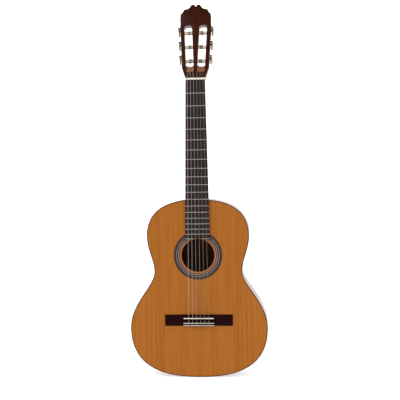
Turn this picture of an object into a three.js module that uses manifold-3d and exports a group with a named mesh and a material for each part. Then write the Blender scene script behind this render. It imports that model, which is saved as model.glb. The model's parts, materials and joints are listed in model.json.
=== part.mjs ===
// A six-string classical guitar, standing on its tail, as an assembly of separate wooden, metal
// and nylon pieces. Millimetres. +Z runs up the neck, the soundboard faces -Y, and +X is to the
// right of someone who faces the soundboard, so the thick bass string is on the -X side.
// The origin is the middle of the flat outer face of the end graft, at the tail.
//
// Most pieces are drawn lying down, in "bench" axes: x across, s up the neck from the tail, and
// n towards the front, with n = 0 on the front face of the soundboard. One group stands them up.
// The head has bench axes of its own, tilted back, with n = 0 on the front of its veneer.
import * as THREE from 'three';
import { mergeVertices } from 'three/addons/utils/BufferGeometryUtils.js';
import Module from 'manifold-3d';

const wasm = await Module();
wasm.setup();

// ---------- driving dimensions ----------
const GAP = 0.3; // between pieces that meet on a curve
const FIT = 0.1; // between pieces that meet on a plane

const BODY_LENGTH = 490;
const LOWER_BOUT = { halfWidth: 189, at: 136 };
const WAIST = { halfWidth: 121, at: 292 };
const UPPER_BOUT = { halfWidth: 140.5, at: 390 };
const OUTLINE_STEPS = 8; // straight pieces in each of the four bends of half the outline
const DEPTH_AT_TAIL = 95; // soundboard face to back at the rim
const DEPTH_AT_HEEL = 88;
const BACK_ARCH = 4; // how far the middle of the back stands out from its rim
const REST_DEPTH = 49.5; // soundboard face to the middle of the end graft

const TOP_THICK = 2.6;
const BACK_THICK = 2.5;
const SIDE_THICK = 2;
const BINDING_DEEP = 5;
const LINING_WIDE = 5.2;
const LINING_DEEP = 13;
const GRAFT_HALF = 9;
const SLOT_HALF = 9.7; // the sides end this far from the middle, in slots of the heel

const HOLE_AT = 336;
const HOLE_RADIUS = 45.3;
const ROSETTE_INNER = 50;
const ROSETTE_OUTER = 67;
const ROUND_STEPS = 48;

const SCALE_LENGTH = 650;
const NUT_AT = 815; // front edge of the nut, where the scale starts
const NUT_LONG = 5;
const FRET_COUNT = 19;
const BOARD_THICK = 6.5;
const BOARD_HALF_AT_NUT = 26.6;
const BOARD_HALF_AT_BODY = 32;
const BOARD_END = 378;
const BOARD_ARC = 47; // the end of the board curves round the soundhole at this radius
const BOARD_ARC_HALF = 21;
const FRET_WIDE = 2.2;
const FRET_HIGH = 1;
const TANG_WIDE = 0.5;
const TANG_DEEP = 1.8;
const FRET_19_GAP = 10.6; // half the length that the soundhole takes out of the last fret

const NECK_DEEP_AT_NUT = 16.5;
const NECK_DEEP_AT_HEEL = 18.5;
const HEEL_DEEP = 91.5;
const HEEL_START = 490.3;
const HEEL_TOP = 4; // the heel's solid starts this far inside the shaft

const BRIDGE_HALF = 93.2;
const BRIDGE_BLOCK_HALF = 42.3;
const BRIDGE_FROM = 142;
const BRIDGE_TO = 173;
const SADDLE_AT = 163.8;
const SADDLE_HALF = 41.5;
const SADDLE_HIGH = 12.2;
const TIE_HOLE_HIGH = 4.6;

const STRING_SPREAD_AT_NUT = 42.5;
const STRING_SPREAD_AT_SADDLE = 54.5;
const STRING_OVER_NUT = 8.1; // underside of the strings at the nut
const STRINGS = [
  { name: 'e6', radius: 0.55, bass: true, roller: 0 },
  { name: 'a5', radius: 0.46, bass: true, roller: 1 },
  { name: 'd4', radius: 0.38, bass: true, roller: 2 },
  { name: 'g3', radius: 0.51, bass: false, roller: 2 },
  { name: 'b2', radius: 0.41, bass: false, roller: 1 },
  { name: 'e1', radius: 0.36, bass: false, roller: 0 },
];

const HEAD_TILT = THREE.MathUtils.degToRad(15);
const HEAD_AT = { s: 820.2, n: 2 }; // where the veneer's front meets the nut
const HEAD_THICK = 19;
const VENEER_THICK = 2;
const HEAD_SIDE_HALF = 34.8; // half width of the head's side lines carried down to the nut
const HEAD_FLARE = Math.atan(0.047); // each side of the head leans out by this
const SLOT_WIDE = 21.3;
const SLOT_MIDDLE = -20.9; // from the head's side to the middle of a slot
const SLOT_FROM = 33;
const SLOT_TO = 155;
const RAMP_FROM = 15;

const ROLLERS_AT = [51.8, 93.1, 134.8]; // along the head's side, from the nut
const ROLLER_DEEP = -10.5;
const ROLLER_RADIUS = 5;
const ROLLER_SHAFT = 3;
const GEAR_TEETH = 14;
const GEAR_TIP = 8;
const GEAR_ROOT = 6.7;
const GEAR_WIDE = 3;
const WORM_OUT = 4.9; // from the head's side to the worm's axis and the middle of the gear
const WORM_CORE = 1.9;
const WORM_THREAD = 3.1;
const WORM_PITCH = (2 * Math.PI * 7.4) / GEAR_TEETH;
const WORM_UP = GEAR_TIP + WORM_CORE + 0.45; // from the roller's axis to the worm's axis
const WORM_SHAFT = 1.6;
const PLATE_THICK = 1.2;
const PLATE_FROM = 32;
const PLATE_TO = 160;
const EAR_THICK = 1.5;
const EAR_OFFSET = 6.4; // each ear's near face from the roller's axis, along the worm
const BUTTON_FROM = -29;
const BUTTON_TO = -46;

const COLOURS = {
  cedar: ['#b5753a', 0.35, 0],
  rosewood: ['#3a1710', 0.3, 0],
  mahogany: ['#6e3b22', 0.4, 0],
  spruce: ['#d8b98a', 0.6, 0],
  binding: ['#5b3018', 0.35, 0],
  ebony: ['#1f1714', 0.45, 0],
  inlay: ['#8a6f5c', 0.4, 0],
  bone: ['#efe6d2', 0.35, 0],
  nickel: ['#b9b4ac', 0.3, 1],
  nylon: ['#e9e4d6', 0.2, 0],
  wound: ['#b98a55', 0.35, 1],
  pearl: ['#efe8d8', 0.25, 0],
};

// ---------- small tools ----------
function addPiece(group, name, geometry, colour) {
  const [color, roughness, metalness] = COLOURS[colour];
  const mesh = new THREE.Mesh(geometry, new THREE.MeshStandardMaterial({ color, roughness, metalness }));
  mesh.name = name;
  group.add(mesh);
  return mesh;
}

function toSolid(geometry) {
  const bare = geometry.clone();
  bare.deleteAttribute('normal');
  bare.deleteAttribute('uv');
  const merged = mergeVertices(bare, 1e-4);
  return new wasm.Manifold(new wasm.Mesh({
    numProp: 3,
    vertProperties: Float32Array.from(merged.attributes.position.array),
    triVerts: Uint32Array.from(merged.index.array),
  }));
}

function toGeometry(solid) {
  const mesh = solid.getMesh();
  const geometry = new THREE.BufferGeometry();
  geometry.setAttribute('position', new THREE.BufferAttribute(Float32Array.from(mesh.vertProperties), 3));
  geometry.setIndex(new THREE.BufferAttribute(Uint32Array.from(mesh.triVerts), 1));
  return geometry;
}

function union(geometries) {
  return geometries.map(toSolid).reduce((whole, part) => whole.add(part));
}

function cut(solid, geometries) {
  return geometries.map(toSolid).reduce((rest, tool) => rest.subtract(tool), solid);
}

function box(x0, x1, s0, s1, n0, n1) {
  const geometry = new THREE.BoxGeometry(x1 - x0, s1 - s0, n1 - n0);
  return geometry.translate((x0 + x1) / 2, (s0 + s1) / 2, (n0 + n1) / 2);
}

function extrude(points, n0, n1, holes = []) {
  const shape = new THREE.Shape(points);
  shape.holes = holes.map((hole) => new THREE.Path(hole));
  const geometry = new THREE.ExtrudeGeometry(shape, { depth: n1 - n0, bevelEnabled: false });
  return geometry.translate(0, 0, n0);
}

// A profile drawn in (s, n) and carried across from x0 to x1.
function extrudeAcross(profile, x0, x1) {
  const turned = profile.map(([s, n]) => new THREE.Vector2(s, n));
  const geometry = new THREE.ExtrudeGeometry(new THREE.Shape(turned), { depth: x1 - x0, bevelEnabled: false });
  const toBench = new THREE.Matrix4().makeBasis(
    new THREE.Vector3(0, 1, 0),
    new THREE.Vector3(0, 0, 1),
    new THREE.Vector3(1, 0, 0),
  );
  return geometry.applyMatrix4(toBench).translate(x0, 0, 0);
}

function cylinderAcross(radius, x0, x1, s, n, sides) {
  const geometry = new THREE.CylinderGeometry(radius, radius, x1 - x0, sides);
  return geometry.rotateZ(-Math.PI / 2).translate((x0 + x1) / 2, s, n);
}

function cylinderUp(radius, s0, s1, x, n, sides) {
  const geometry = new THREE.CylinderGeometry(radius, radius, s1 - s0, sides);
  return geometry.translate(x, (s0 + s1) / 2, n);
}

function cylinderFront(radius, n0, n1, x, s, sides) {
  const geometry = new THREE.CylinderGeometry(radius, radius, n1 - n0, sides);
  return geometry.rotateX(Math.PI / 2).translate(x, s, (n0 + n1) / 2);
}

function circle(radius, x, s, steps) {
  return Array.from({ length: steps }, (_, i) => {
    const angle = (2 * Math.PI * i) / steps;
    return new THREE.Vector2(x + radius * Math.cos(angle), s + radius * Math.sin(angle));
  });
}

function warp(geometry, place) {
  const position = geometry.attributes.position;
  const point = new THREE.Vector3();
  for (let i = 0; i < position.count; i += 1) {
    point.fromBufferAttribute(position, i);
    place(point);
    position.setXYZ(i, point.x, point.y, point.z);
  }
  return geometry;
}

// ---------- the body's outline ----------
// Half the outline, from the middle of the tail to the middle of the heel end: four cubic bends,
// each with an upright or level tangent at both ends, moved inwards by inset.
function halfOutline(inset) {
  const at = (x, s) => new THREE.Vector2(x, s);
  const low = LOWER_BOUT;
  const mid = WAIST;
  const top = UPPER_BOUT;
  const bends = [
    [at(0, 0), at(55, 0), at(low.halfWidth, 2.4), at(low.halfWidth, low.at)],
    [at(low.halfWidth, low.at), at(low.halfWidth, low.at + 70), at(mid.halfWidth, mid.at - 40.5),
      at(mid.halfWidth, mid.at)],
    [at(mid.halfWidth, mid.at), at(mid.halfWidth, mid.at + 32), at(top.halfWidth, top.at - 41),
      at(top.halfWidth, top.at)],
    [at(top.halfWidth, top.at), at(top.halfWidth, top.at + 49), at(113, BODY_LENGTH), at(0, BODY_LENGTH)],
  ];
  return bends.flatMap((bend, index) => {
    const curve = new THREE.CubicBezierCurve(...bend);
    const first = index === 0 ? 0 : 1;
    return Array.from({ length: OUTLINE_STEPS + 1 - first }, (_, i) => {
      const t = (i + first) / OUTLINE_STEPS;
      const tangent = curve.getTangent(t);
      return curve.getPoint(t).sub(at(tangent.y, -tangent.x).multiplyScalar(inset));
    });
  });
}

// The half outline between two distances from the middle line, at the tail and at the heel.
function clipHalf(points, tailX, heelX) {
  const cross = (a, b, x) => a.clone().lerp(b, (x - a.x) / (b.x - a.x));
  const firstOut = points.findIndex((point) => point.x > tailX);
  const lastOut = points.findLastIndex((point) => point.x > heelX);
  const start = tailX > 0 ? [cross(points[firstOut - 1], points[firstOut], tailX)] : [points[0]];
  const end = heelX > 0 ? [cross(points[lastOut], points[lastOut + 1], heelX)] : [points[points.length - 1]];
  return [...start, ...points.slice(firstOut, lastOut + 1), ...end];
}

function mirror(points) {
  return points.map((point) => new THREE.Vector2(-point.x, point.y)).reverse();
}

// From the heel on the -X side, round the tail, to the heel on the +X side.
function wayRound(inset, heelX) {
  const half = clipHalf(halfOutline(inset), 0, heelX);
  return [...mirror(half), ...half.slice(1)];
}

function closedOutline(inset) {
  return wayRound(inset, 0).slice(1);
}

function openBand(outer, inner, heelX) {
  return [...wayRound(outer, heelX), ...wayRound(inner, heelX).reverse()];
}

function rimDepth(s) {
  return DEPTH_AT_TAIL + ((DEPTH_AT_HEEL - DEPTH_AT_TAIL) * s) / BODY_LENGTH;
}

// n of the outer face of the back, which is arched from side to side.
function backAt(x, s) {
  const across = x / LOWER_BOUT.halfWidth;
  return -(rimDepth(s) + BACK_ARCH * (1 - across * across));
}

// A prism whose two ends are moved onto the heights front(x, s) and back(x, s).
function between(points, front, back) {
  return warp(extrude(points, 0, 1), (point) => {
    const height = point.z > 0.5 ? front : back;
    point.z = height(point.x, point.y);
  });
}

// ---------- the body ----------
function soundboard() {
  const plate = extrude(closedOutline(SIDE_THICK + GAP), -TOP_THICK, 0, [
    circle(HOLE_RADIUS, 0, HOLE_AT, ROUND_STEPS),
  ]);
  const channel = extrude(circle(ROSETTE_OUTER, 0, HOLE_AT, ROUND_STEPS), -1.2, 1, [
    circle(ROSETTE_INNER, 0, HOLE_AT, ROUND_STEPS),
  ]);
  return toGeometry(cut(toSolid(plate), [channel]));
}

function rosette() {
  return extrude(circle(ROSETTE_OUTER - 0.2, 0, HOLE_AT, ROUND_STEPS), -0.9, 0, [
    circle(ROSETTE_INNER + 0.2, 0, HOLE_AT, ROUND_STEPS),
  ]);
}

// A grid bent to the outline and to the arch: across it follows x, and along it the outline.
function backPlate() {
  const rim = clipHalf(halfOutline(SIDE_THICK + GAP), 45, 45);
  const rows = rim.length - 1;
  const grid = new THREE.BoxGeometry(2, rows, 1, 4, rows, 1);
  return warp(grid, (point) => {
    const edge = rim[Math.round(point.y + rows / 2)];
    const outside = point.z < 0;
    point.x *= edge.x;
    point.y = edge.y;
    point.z = backAt(point.x, point.y) + (outside ? 0 : BACK_THICK);
  });
}

function sideStrip() {
  const outer = clipHalf(halfOutline(0), GRAFT_HALF + FIT, SLOT_HALF);
  const inner = clipHalf(halfOutline(SIDE_THICK), GRAFT_HALF + FIT, SLOT_HALF);
  const front = () => -BINDING_DEEP - FIT;
  const back = (x, s) => backAt(x, s) + BINDING_DEEP + FIT;
  return between([...outer, ...inner.reverse()], front, back);
}

// Swaps two corners of each triangle of a geometry without an index.
function turnFacesOver(geometry) {
  const position = geometry.attributes.position;
  const corners = position.count / 3;
  const first = new THREE.Vector3();
  const second = new THREE.Vector3();
  for (let i = 0; i < corners; i += 1) {
    first.fromBufferAttribute(position, 3 * i + 1);
    second.fromBufferAttribute(position, 3 * i + 2);
    position.setXYZ(3 * i + 1, second.x, second.y, second.z);
    position.setXYZ(3 * i + 2, first.x, first.y, first.z);
  }
  return geometry;
}

function mirrorPiece(geometry) {
  return turnFacesOver(geometry.clone().scale(-1, 1, 1));
}

function topBinding() {
  return extrude(openBand(0, SIDE_THICK, BOARD_HALF_AT_BODY + 1), -BINDING_DEEP, 0);
}

function backBinding() {
  const front = (x, s) => backAt(x, s) + BINDING_DEEP;
  return between(openBand(0, SIDE_THICK, 14), front, backAt);
}

function topLining() {
  const band = openBand(SIDE_THICK + GAP, SIDE_THICK + GAP + LINING_WIDE, 31);
  return extrude(band, -TOP_THICK - GAP - LINING_DEEP, -TOP_THICK - GAP);
}

function backLining() {
  const band = openBand(SIDE_THICK + GAP, SIDE_THICK + GAP + LINING_WIDE, 31);
  const under = BACK_THICK + GAP;
  const front = (x, s) => backAt(x, s) + under + LINING_DEEP;
  const back = (x, s) => backAt(x, s) + under;
  return between(band, front, back);
}

function endGraft() {
  const back = backAt(0, 0) + BINDING_DEEP + GAP;
  return box(-GRAFT_HALF, GRAFT_HALF, 0, SIDE_THICK, back, -BINDING_DEEP - FIT);
}

function tailBlock() {
  const near = SIDE_THICK + 2 * GAP;
  const liningEnd = SIDE_THICK + 2 * GAP + LINING_WIDE + 1;
  const back = backAt(0, 0) + BACK_THICK + 3 * GAP;
  const front = -TOP_THICK - GAP;
  const block = toSolid(box(-35, 35, near + 0.6, 20, back, front));
  return toGeometry(cut(block, [
    box(-40, 40, 0, liningEnd, front - LINING_DEEP - GAP, 5),
    box(-40, 40, 0, liningEnd, back - 5, back + LINING_DEEP + 2 * GAP),
  ]));
}

// Bars and fan struts glued together under the soundboard, with the doubler behind the bridge.
function soundboardBracing() {
  const glue = -TOP_THICK - GAP;
  const bars = [
    box(-112, 112, 436, 443, glue - 16, glue),
    box(-112, 112, 398, 405, glue - 18, glue),
    box(-104, 104, 278, 285, glue - 18, glue),
    box(-30, 30, 400, 441, glue - 3, glue),
    box(-66, -56, 281, 401, glue - 5, glue),
    box(56, 66, 281, 401, glue - 5, glue),
    box(-100, 100, 140, 175, glue - 2, glue),
  ];
  const fans = [-3, -2, -1, 0, 1, 2, 3].map((step) => {
    const strut = box(-3, 3, -262, 0, glue - 5, glue);
    return strut.rotateZ(step * 0.075).translate(step * 17, 280, 0);
  });
  const closing = [-1, 1].map((side) => {
    const strut = box(-3, 3, -50, 50, glue - 5, glue);
    return strut.rotateZ(side * 1.25).translate(side * 62, 44, 0);
  });
  const lattice = union([...bars, ...fans, ...closing]);
  return toGeometry(lattice.subtract(toSolid(box(-200, 200, -10, 22, -30, 0))));
}

// Three ladder bars and the strip over the centre joint, glued inside the back.
function backBracing() {
  const glue = (x, s) => backAt(x, s) + BACK_THICK + GAP;
  const bar = (halfLength, s, tall) => {
    const stick = new THREE.BoxGeometry(2 * halfLength, 7, 1, 8, 1, 1).translate(0, s, 0);
    return warp(stick, (point) => {
      const base = glue(point.x, point.y);
      point.z = point.z < 0 ? base : glue(0, s) + tall;
    });
  };
  const strip = warp(new THREE.BoxGeometry(18, 390, 1, 2, 1, 1).translate(0, 222, 0), (point) => {
    point.z = glue(point.x, point.y) + (point.z < 0 ? 0 : 2.5);
  });
  return toGeometry(union([strip, bar(168, 105, 13), bar(118, 262, 13), bar(122, 376, 13)]));
}

// ---------- bridge and saddle ----------
function bridge() {
  const wing = [
    [BRIDGE_FROM, FIT], [BRIDGE_TO, FIT], [BRIDGE_TO, 1.6], [BRIDGE_TO - 7, 3.6], [BRIDGE_FROM + 7, 3.6],
    [BRIDGE_FROM, 1.6],
  ];
  const block = [
    [BRIDGE_FROM, FIT], [BRIDGE_TO, FIT], [BRIDGE_TO, 3], [BRIDGE_TO - 3, 8], [BRIDGE_TO - 5, 8.6],
    [SADDLE_AT - 3.5, 8.6], [SADDLE_AT - 6.2, 3.4], [BRIDGE_FROM + 10.2, 3.4], [BRIDGE_FROM + 9.8, 8.8],
    [BRIDGE_FROM + 1, 8.4], [BRIDGE_FROM, 7.4],
  ];
  const halfSlot = 1.6;
  const slot = box(-SADDLE_HALF - GAP, SADDLE_HALF + GAP, SADDLE_AT - halfSlot, SADDLE_AT + halfSlot, 3, 20);
  const holes = STRINGS.map((string, index) => (
    cylinderUp(string.radius + 0.5, BRIDGE_FROM - 5, BRIDGE_FROM + 14, saddleX(index), TIE_HOLE_HIGH, 8)
  ));
  const whole = union([
    extrudeAcross(wing, -BRIDGE_HALF, BRIDGE_HALF),
    extrudeAcross(block, -BRIDGE_BLOCK_HALF, BRIDGE_BLOCK_HALF),
  ]);
  return toGeometry(cut(whole, [slot, ...holes]));
}

function saddle() {
  const half = 1.3;
  const profile = [
    [SADDLE_AT - half, 3.1], [SADDLE_AT + half, 3.1], [SADDLE_AT + half, SADDLE_HIGH - 0.6],
    [SADDLE_AT + half - 0.7, SADDLE_HIGH], [SADDLE_AT - half + 0.7, SADDLE_HIGH],
    [SADDLE_AT - half, SADDLE_HIGH - 0.6],
  ];
  return extrudeAcross(profile, -SADDLE_HALF, SADDLE_HALF);
}

// ---------- neck, fingerboard and frets ----------
function boardHalf(s) {
  const taper = (BOARD_HALF_AT_BODY - BOARD_HALF_AT_NUT) / (NUT_AT - BODY_LENGTH);
  return BOARD_HALF_AT_NUT + (NUT_AT - s) * taper;
}

function fretAt(number) {
  return NUT_AT - SCALE_LENGTH * (1 - 2 ** (-number / 12));
}

// A flat-topped, round-backed shaft, a pointed heel that narrows towards the back, and the foot
// inside the body. The web between heel and foot leaves the slots that hold the sides.
function neck() {
  const round = Array.from({ length: 13 }, (_, i) => {
    const angle = (Math.PI * i) / 12;
    const flat = (value) => Math.sign(value) * Math.abs(value) ** 0.8;
    return new THREE.Vector2(flat(Math.cos(angle)), -flat(Math.sin(angle)));
  });
  const shaft = new THREE.ExtrudeGeometry(new THREE.Shape(round), { depth: 1, steps: 6, bevelEnabled: false });
  warp(shaft, (point) => {
    const along = point.z;
    const level = HEEL_START + (HEAD_AT.s - HEEL_START) * along;
    const deep = NECK_DEEP_AT_HEEL + (NECK_DEEP_AT_NUT - NECK_DEEP_AT_HEEL) * along;
    const n = point.y * deep;
    const headEnd = HEAD_AT.s + (n - HEAD_AT.n) * Math.tan(HEAD_TILT);
    point.x *= boardHalf(Math.min(level, NUT_AT)) - 0.2;
    point.y = along === 1 ? headEnd : level;
    point.z = n;
  });
  const ogive = [[-1, 0], [1, 0], [0.93, 0.3], [0.72, 0.62], [0.4, 0.88], [0, 1], [-0.4, 0.88], [-0.72, 0.62],
    [-0.93, 0.3]];
  const outline = new THREE.Shape(ogive.map(([x, s]) => new THREE.Vector2(x, s)));
  const heel = new THREE.ExtrudeGeometry(outline, { depth: 1, steps: 10, bevelEnabled: false });
  warp(heel, (point) => {
    const deep = HEEL_TOP + point.z * (HEEL_DEEP - HEEL_TOP);
    const rise = 24 + 46 * Math.exp(-Math.max(deep - 16, 0) / 13);
    const half = 12.5 + 18.5 * (1 - point.z) ** 1.35;
    point.x *= half;
    point.y = HEEL_START + point.y * rise;
    point.z = -deep;
  });
  turnFacesOver(shaft); // both were bent onto axes of the other hand
  turnFacesOver(heel);
  const web = box(-SLOT_HALF + GAP, SLOT_HALF - GAP, 484, 493, -86, -3.2);
  const foot = box(-30, 30, 452, 485.8, -89, -TOP_THICK - GAP);
  const toe = box(-24, 24, 425, 453, -89, -78);
  return toGeometry(union([shaft, heel, web, foot, toe]));
}

function fingerboard() {
  const arcSteps = 10;
  const arcHalfAngle = Math.asin(BOARD_ARC_HALF / BOARD_ARC);
  const arc = Array.from({ length: arcSteps + 1 }, (_, i) => {
    const angle = -arcHalfAngle + (2 * arcHalfAngle * i) / arcSteps;
    return new THREE.Vector2(BOARD_ARC * Math.sin(angle), HOLE_AT + BOARD_ARC * Math.cos(angle));
  });
  const outline = [
    ...arc,
    new THREE.Vector2(boardHalf(BOARD_END), BOARD_END),
    new THREE.Vector2(boardHalf(NUT_AT), NUT_AT),
    new THREE.Vector2(-boardHalf(NUT_AT), NUT_AT),
    new THREE.Vector2(-boardHalf(BOARD_END), BOARD_END),
  ];
  const slots = Array.from({ length: FRET_COUNT }, (_, i) => {
    const s = fretAt(i + 1);
    const half = TANG_WIDE / 2 + 0.15;
    return box(-40, 40, s - half, s + half, BOARD_THICK - TANG_DEEP - 0.2, BOARD_THICK + 5);
  });
  return toGeometry(cut(toSolid(extrude(outline, FIT, BOARD_THICK)), slots));
}

function fret(number, x0, x1) {
  const s = fretAt(number);
  const low = BOARD_THICK + 0.05;
  const profile = [
    [s - TANG_WIDE / 2, BOARD_THICK - TANG_DEEP], [s + TANG_WIDE / 2, BOARD_THICK - TANG_DEEP],
    [s + TANG_WIDE / 2, low], [s + FRET_WIDE / 2, low], [s + FRET_WIDE * 0.3, low + FRET_HIGH * 0.8],
    [s, low + FRET_HIGH], [s - FRET_WIDE * 0.3, low + FRET_HIGH * 0.8], [s - FRET_WIDE / 2, low],
    [s - TANG_WIDE / 2, low],
  ];
  return extrudeAcross(profile, x0, x1);
}

function nut() {
  const block = box(-BOARD_HALF_AT_NUT, BOARD_HALF_AT_NUT, NUT_AT + FIT, NUT_AT + NUT_LONG, FIT, 9.2);
  const slots = STRINGS.map((string, index) => {
    const x = nutX(index);
    const half = string.radius + 0.15;
    return box(x - half, x + half, NUT_AT - 1, NUT_AT + NUT_LONG + 1, STRING_OVER_NUT - FIT, 20);
  });
  return toGeometry(cut(toSolid(block), slots));
}

// ---------- head ----------
// The crest has a round lobe each side of a notch, then two steps down to the shoulders.
function headOutline(from) {
  const side = (s) => HEAD_SIDE_HALF + s * Math.tan(HEAD_FLARE);
  const half = [
    [27.2, from], [30.2, 10], [33.8, 20], [side(30), 30], [side(163), 163], [42.8, 172],
    [42.7, 180], [41.6, 187.6], [38.6, 191.6], [35, 194.2], [33.4, 199.6], [31, 201.8], [26.5, 202.2],
    [22, 203.2], [17.6, 206.2], [14.4, 210.2], [11.8, 214], [8.5, 216], [4.6, 215], [1.6, 212], [0, 210],
  ].map(([x, s]) => new THREE.Vector2(x, s));
  const left = mirror(half.slice(0, -1));
  return [...half, ...left];
}

// Turns a geometry drawn beside the head's side line (x outwards) onto the -X or +X side.
function ontoHeadSide(geometry, side) {
  return geometry.rotateZ(-side * HEAD_FLARE).translate(side * HEAD_SIDE_HALF, 0, 0);
}

function headSlots(n0, n1) {
  return [-1, 1].map((side) => {
    const middle = side * SLOT_MIDDLE;
    const half = SLOT_WIDE / 2;
    const arch = Array.from({ length: 9 }, (_, i) => {
      const angle = (Math.PI * i) / 8;
      return new THREE.Vector2(middle + half * Math.cos(angle), SLOT_TO - half * 0.7 + 0.7 * half * Math.sin(angle));
    });
    const outline = [...arch, new THREE.Vector2(middle - half, SLOT_FROM), new THREE.Vector2(middle + half, SLOT_FROM)];
    return ontoHeadSide(extrude(outline, n0, n1), side);
  });
}

// Each slot's lower end is scooped down from the front, so that the strings pass the nut freely.
function headRamps() {
  return [-1, 1].map((side) => {
    const middle = side * SLOT_MIDDLE;
    const scoop = [
      [RAMP_FROM - 5, 4], [RAMP_FROM - 1, 0.6], [RAMP_FROM + 4, -4], [RAMP_FROM + 11, -9.5],
      [SLOT_FROM + 0.5, -15], [SLOT_FROM + 0.5, 4],
    ];
    const half = SLOT_WIDE / 2;
    return ontoHeadSide(extrudeAcross(scoop, middle - half, middle + half), side);
  });
}

function headstock() {
  const core = toSolid(extrude(headOutline(0.3), -HEAD_THICK, -VENEER_THICK - FIT));
  const bores = [-1, 1].flatMap((side) => ROLLERS_AT.map((s) => {
    const bore = cylinderAcross(ROLLER_RADIUS + 0.35, Math.min(side * 3, side * -36), Math.max(side * 3, side * -36),
      s, ROLLER_DEEP, 12);
    return ontoHeadSide(bore, side);
  }));
  return toGeometry(cut(core, [...headSlots(-HEAD_THICK - 5, 5), ...headRamps(), ...bores]));
}

function headVeneer() {
  const face = toSolid(extrude(headOutline(0.8), -VENEER_THICK, 0));
  return toGeometry(cut(face, [...headSlots(-5, 5), ...headRamps()]));
}

// ---------- tuning machines, drawn beside the head's side line ----------
function machinePlate(side) {
  const out = (near, far) => (side > 0 ? [near, far] : [-far, -near]);
  const plate = box(...out(FIT, PLATE_THICK), PLATE_FROM, PLATE_TO, ROLLER_DEEP - 6.5, ROLLER_DEEP + 6.5);
  const ears = ROLLERS_AT.flatMap((s) => [EAR_OFFSET, -EAR_OFFSET - EAR_THICK].map((offset) => (
    box(...out(PLATE_THICK - 0.5, WORM_OUT + 3.4), s + WORM_UP - 4, s + WORM_UP + 4,
      ROLLER_DEEP + offset, ROLLER_DEEP + offset + EAR_THICK)
  )));
  const tools = ROLLERS_AT.flatMap((s) => [
    cylinderAcross(ROLLER_SHAFT + 0.35, ...out(-3, 5), s, ROLLER_DEEP, 12),
    cylinderFront(WORM_SHAFT + 0.3, ROLLER_DEEP - 12, ROLLER_DEEP + 12, side * WORM_OUT, s + WORM_UP, 10),
  ]);
  // The ears stand past the plate's edges, so their roots reach back over it.
  const roots = ROLLERS_AT.flatMap((s) => [EAR_OFFSET, -EAR_OFFSET - EAR_THICK].map((offset) => (
    box(...out(FIT, PLATE_THICK), s + WORM_UP - 4, s + WORM_UP + 4,
      ROLLER_DEEP + Math.min(offset, 0), ROLLER_DEEP + Math.max(offset + EAR_THICK, 0))
  )));
  return toGeometry(cut(union([plate, ...ears, ...roots]), tools));
}

function stringRoller(side, s) {
  const out = (near, far) => (side > 0 ? [near, far] : [-far, -near]);
  const teeth = Array.from({ length: GEAR_TEETH }, (_, i) => {
    const pitch = (2 * Math.PI) / GEAR_TEETH;
    const middle = Math.PI / 2 + pitch * (i + 0.5);
    const corner = (radius, angle) => [s + radius * Math.sin(angle), ROLLER_DEEP + radius * Math.cos(angle)];
    return [
      corner(GEAR_ROOT, middle - pitch * 0.25), corner(GEAR_TIP, middle - pitch * 0.09),
      corner(GEAR_TIP, middle + pitch * 0.09), corner(GEAR_ROOT, middle + pitch * 0.25),
    ];
  }).flat();
  const gear = extrudeAcross(teeth.reverse(), ...out(WORM_OUT - GEAR_WIDE / 2, WORM_OUT + GEAR_WIDE / 2));
  const parts = [
    cylinderAcross(ROLLER_RADIUS, ...out(-34.5, -0.4), s, ROLLER_DEEP, 12),
    cylinderAcross(ROLLER_SHAFT, ...out(-1, WORM_OUT + GEAR_WIDE / 2 + 1), s, ROLLER_DEEP, 12),
    gear,
  ];
  return toGeometry(union(parts));
}

// A right-handed thread on a shaft, with the turning button on the end behind the head.
function tuningKnob(side, s) {
  const x = side * WORM_OUT;
  const up = s + WORM_UP;
  const turns = 2.5;
  const threadReach = turns * Math.PI;
  class Thread extends THREE.Curve {
    getPoint(t, target = new THREE.Vector3()) {
      const angle = threadReach * (2 * t - 1);
      const middle = (WORM_CORE + WORM_THREAD) / 2 - 0.15;
      return target.set(
        x + middle * Math.sin(angle),
        up - middle * Math.cos(angle),
        ROLLER_DEEP + (WORM_PITCH * angle) / (2 * Math.PI),
      );
    }
  }
  const halfHigh = (WORM_THREAD - WORM_CORE) / 2 + 0.15;
  const section = new THREE.Shape([
    new THREE.Vector2(-halfHigh, -0.42), new THREE.Vector2(halfHigh, -0.42),
    new THREE.Vector2(halfHigh, 0.42), new THREE.Vector2(-halfHigh, 0.42),
  ]);
  const thread = new THREE.ExtrudeGeometry(section, {
    steps: Math.round(turns * 7),
    bevelEnabled: false,
    extrudePath: new Thread(),
  });
  const button = new THREE.CylinderGeometry(1, 1, BUTTON_FROM - BUTTON_TO, 10, 2);
  button.rotateX(Math.PI / 2);
  warp(button, (point) => {
    const along = point.z / (BUTTON_FROM - BUTTON_TO);
    const waist = 0.72 + 0.28 * Math.sin((0.5 - along) * Math.PI) ** 0.6;
    point.x = x + point.x * 4.6 * waist;
    point.y = up + point.y * 8.4 * waist;
    point.z += (BUTTON_FROM + BUTTON_TO) / 2;
  });
  return toGeometry(union([
    cylinderFront(WORM_CORE, ROLLER_DEEP - EAR_OFFSET + 0.3, ROLLER_DEEP + EAR_OFFSET - 0.3, x, up, 8),
    cylinderFront(WORM_SHAFT, BUTTON_FROM - 1, ROLLER_DEEP + EAR_OFFSET + EAR_THICK + 1, x, up, 8),
    thread,
    button,
  ]));
}

// ---------- strings ----------
function nutX(index) {
  return -STRING_SPREAD_AT_NUT / 2 + (STRING_SPREAD_AT_NUT * index) / 5;
}

function saddleX(index) {
  return -STRING_SPREAD_AT_SADDLE / 2 + (STRING_SPREAD_AT_SADDLE * index) / 5;
}

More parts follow.
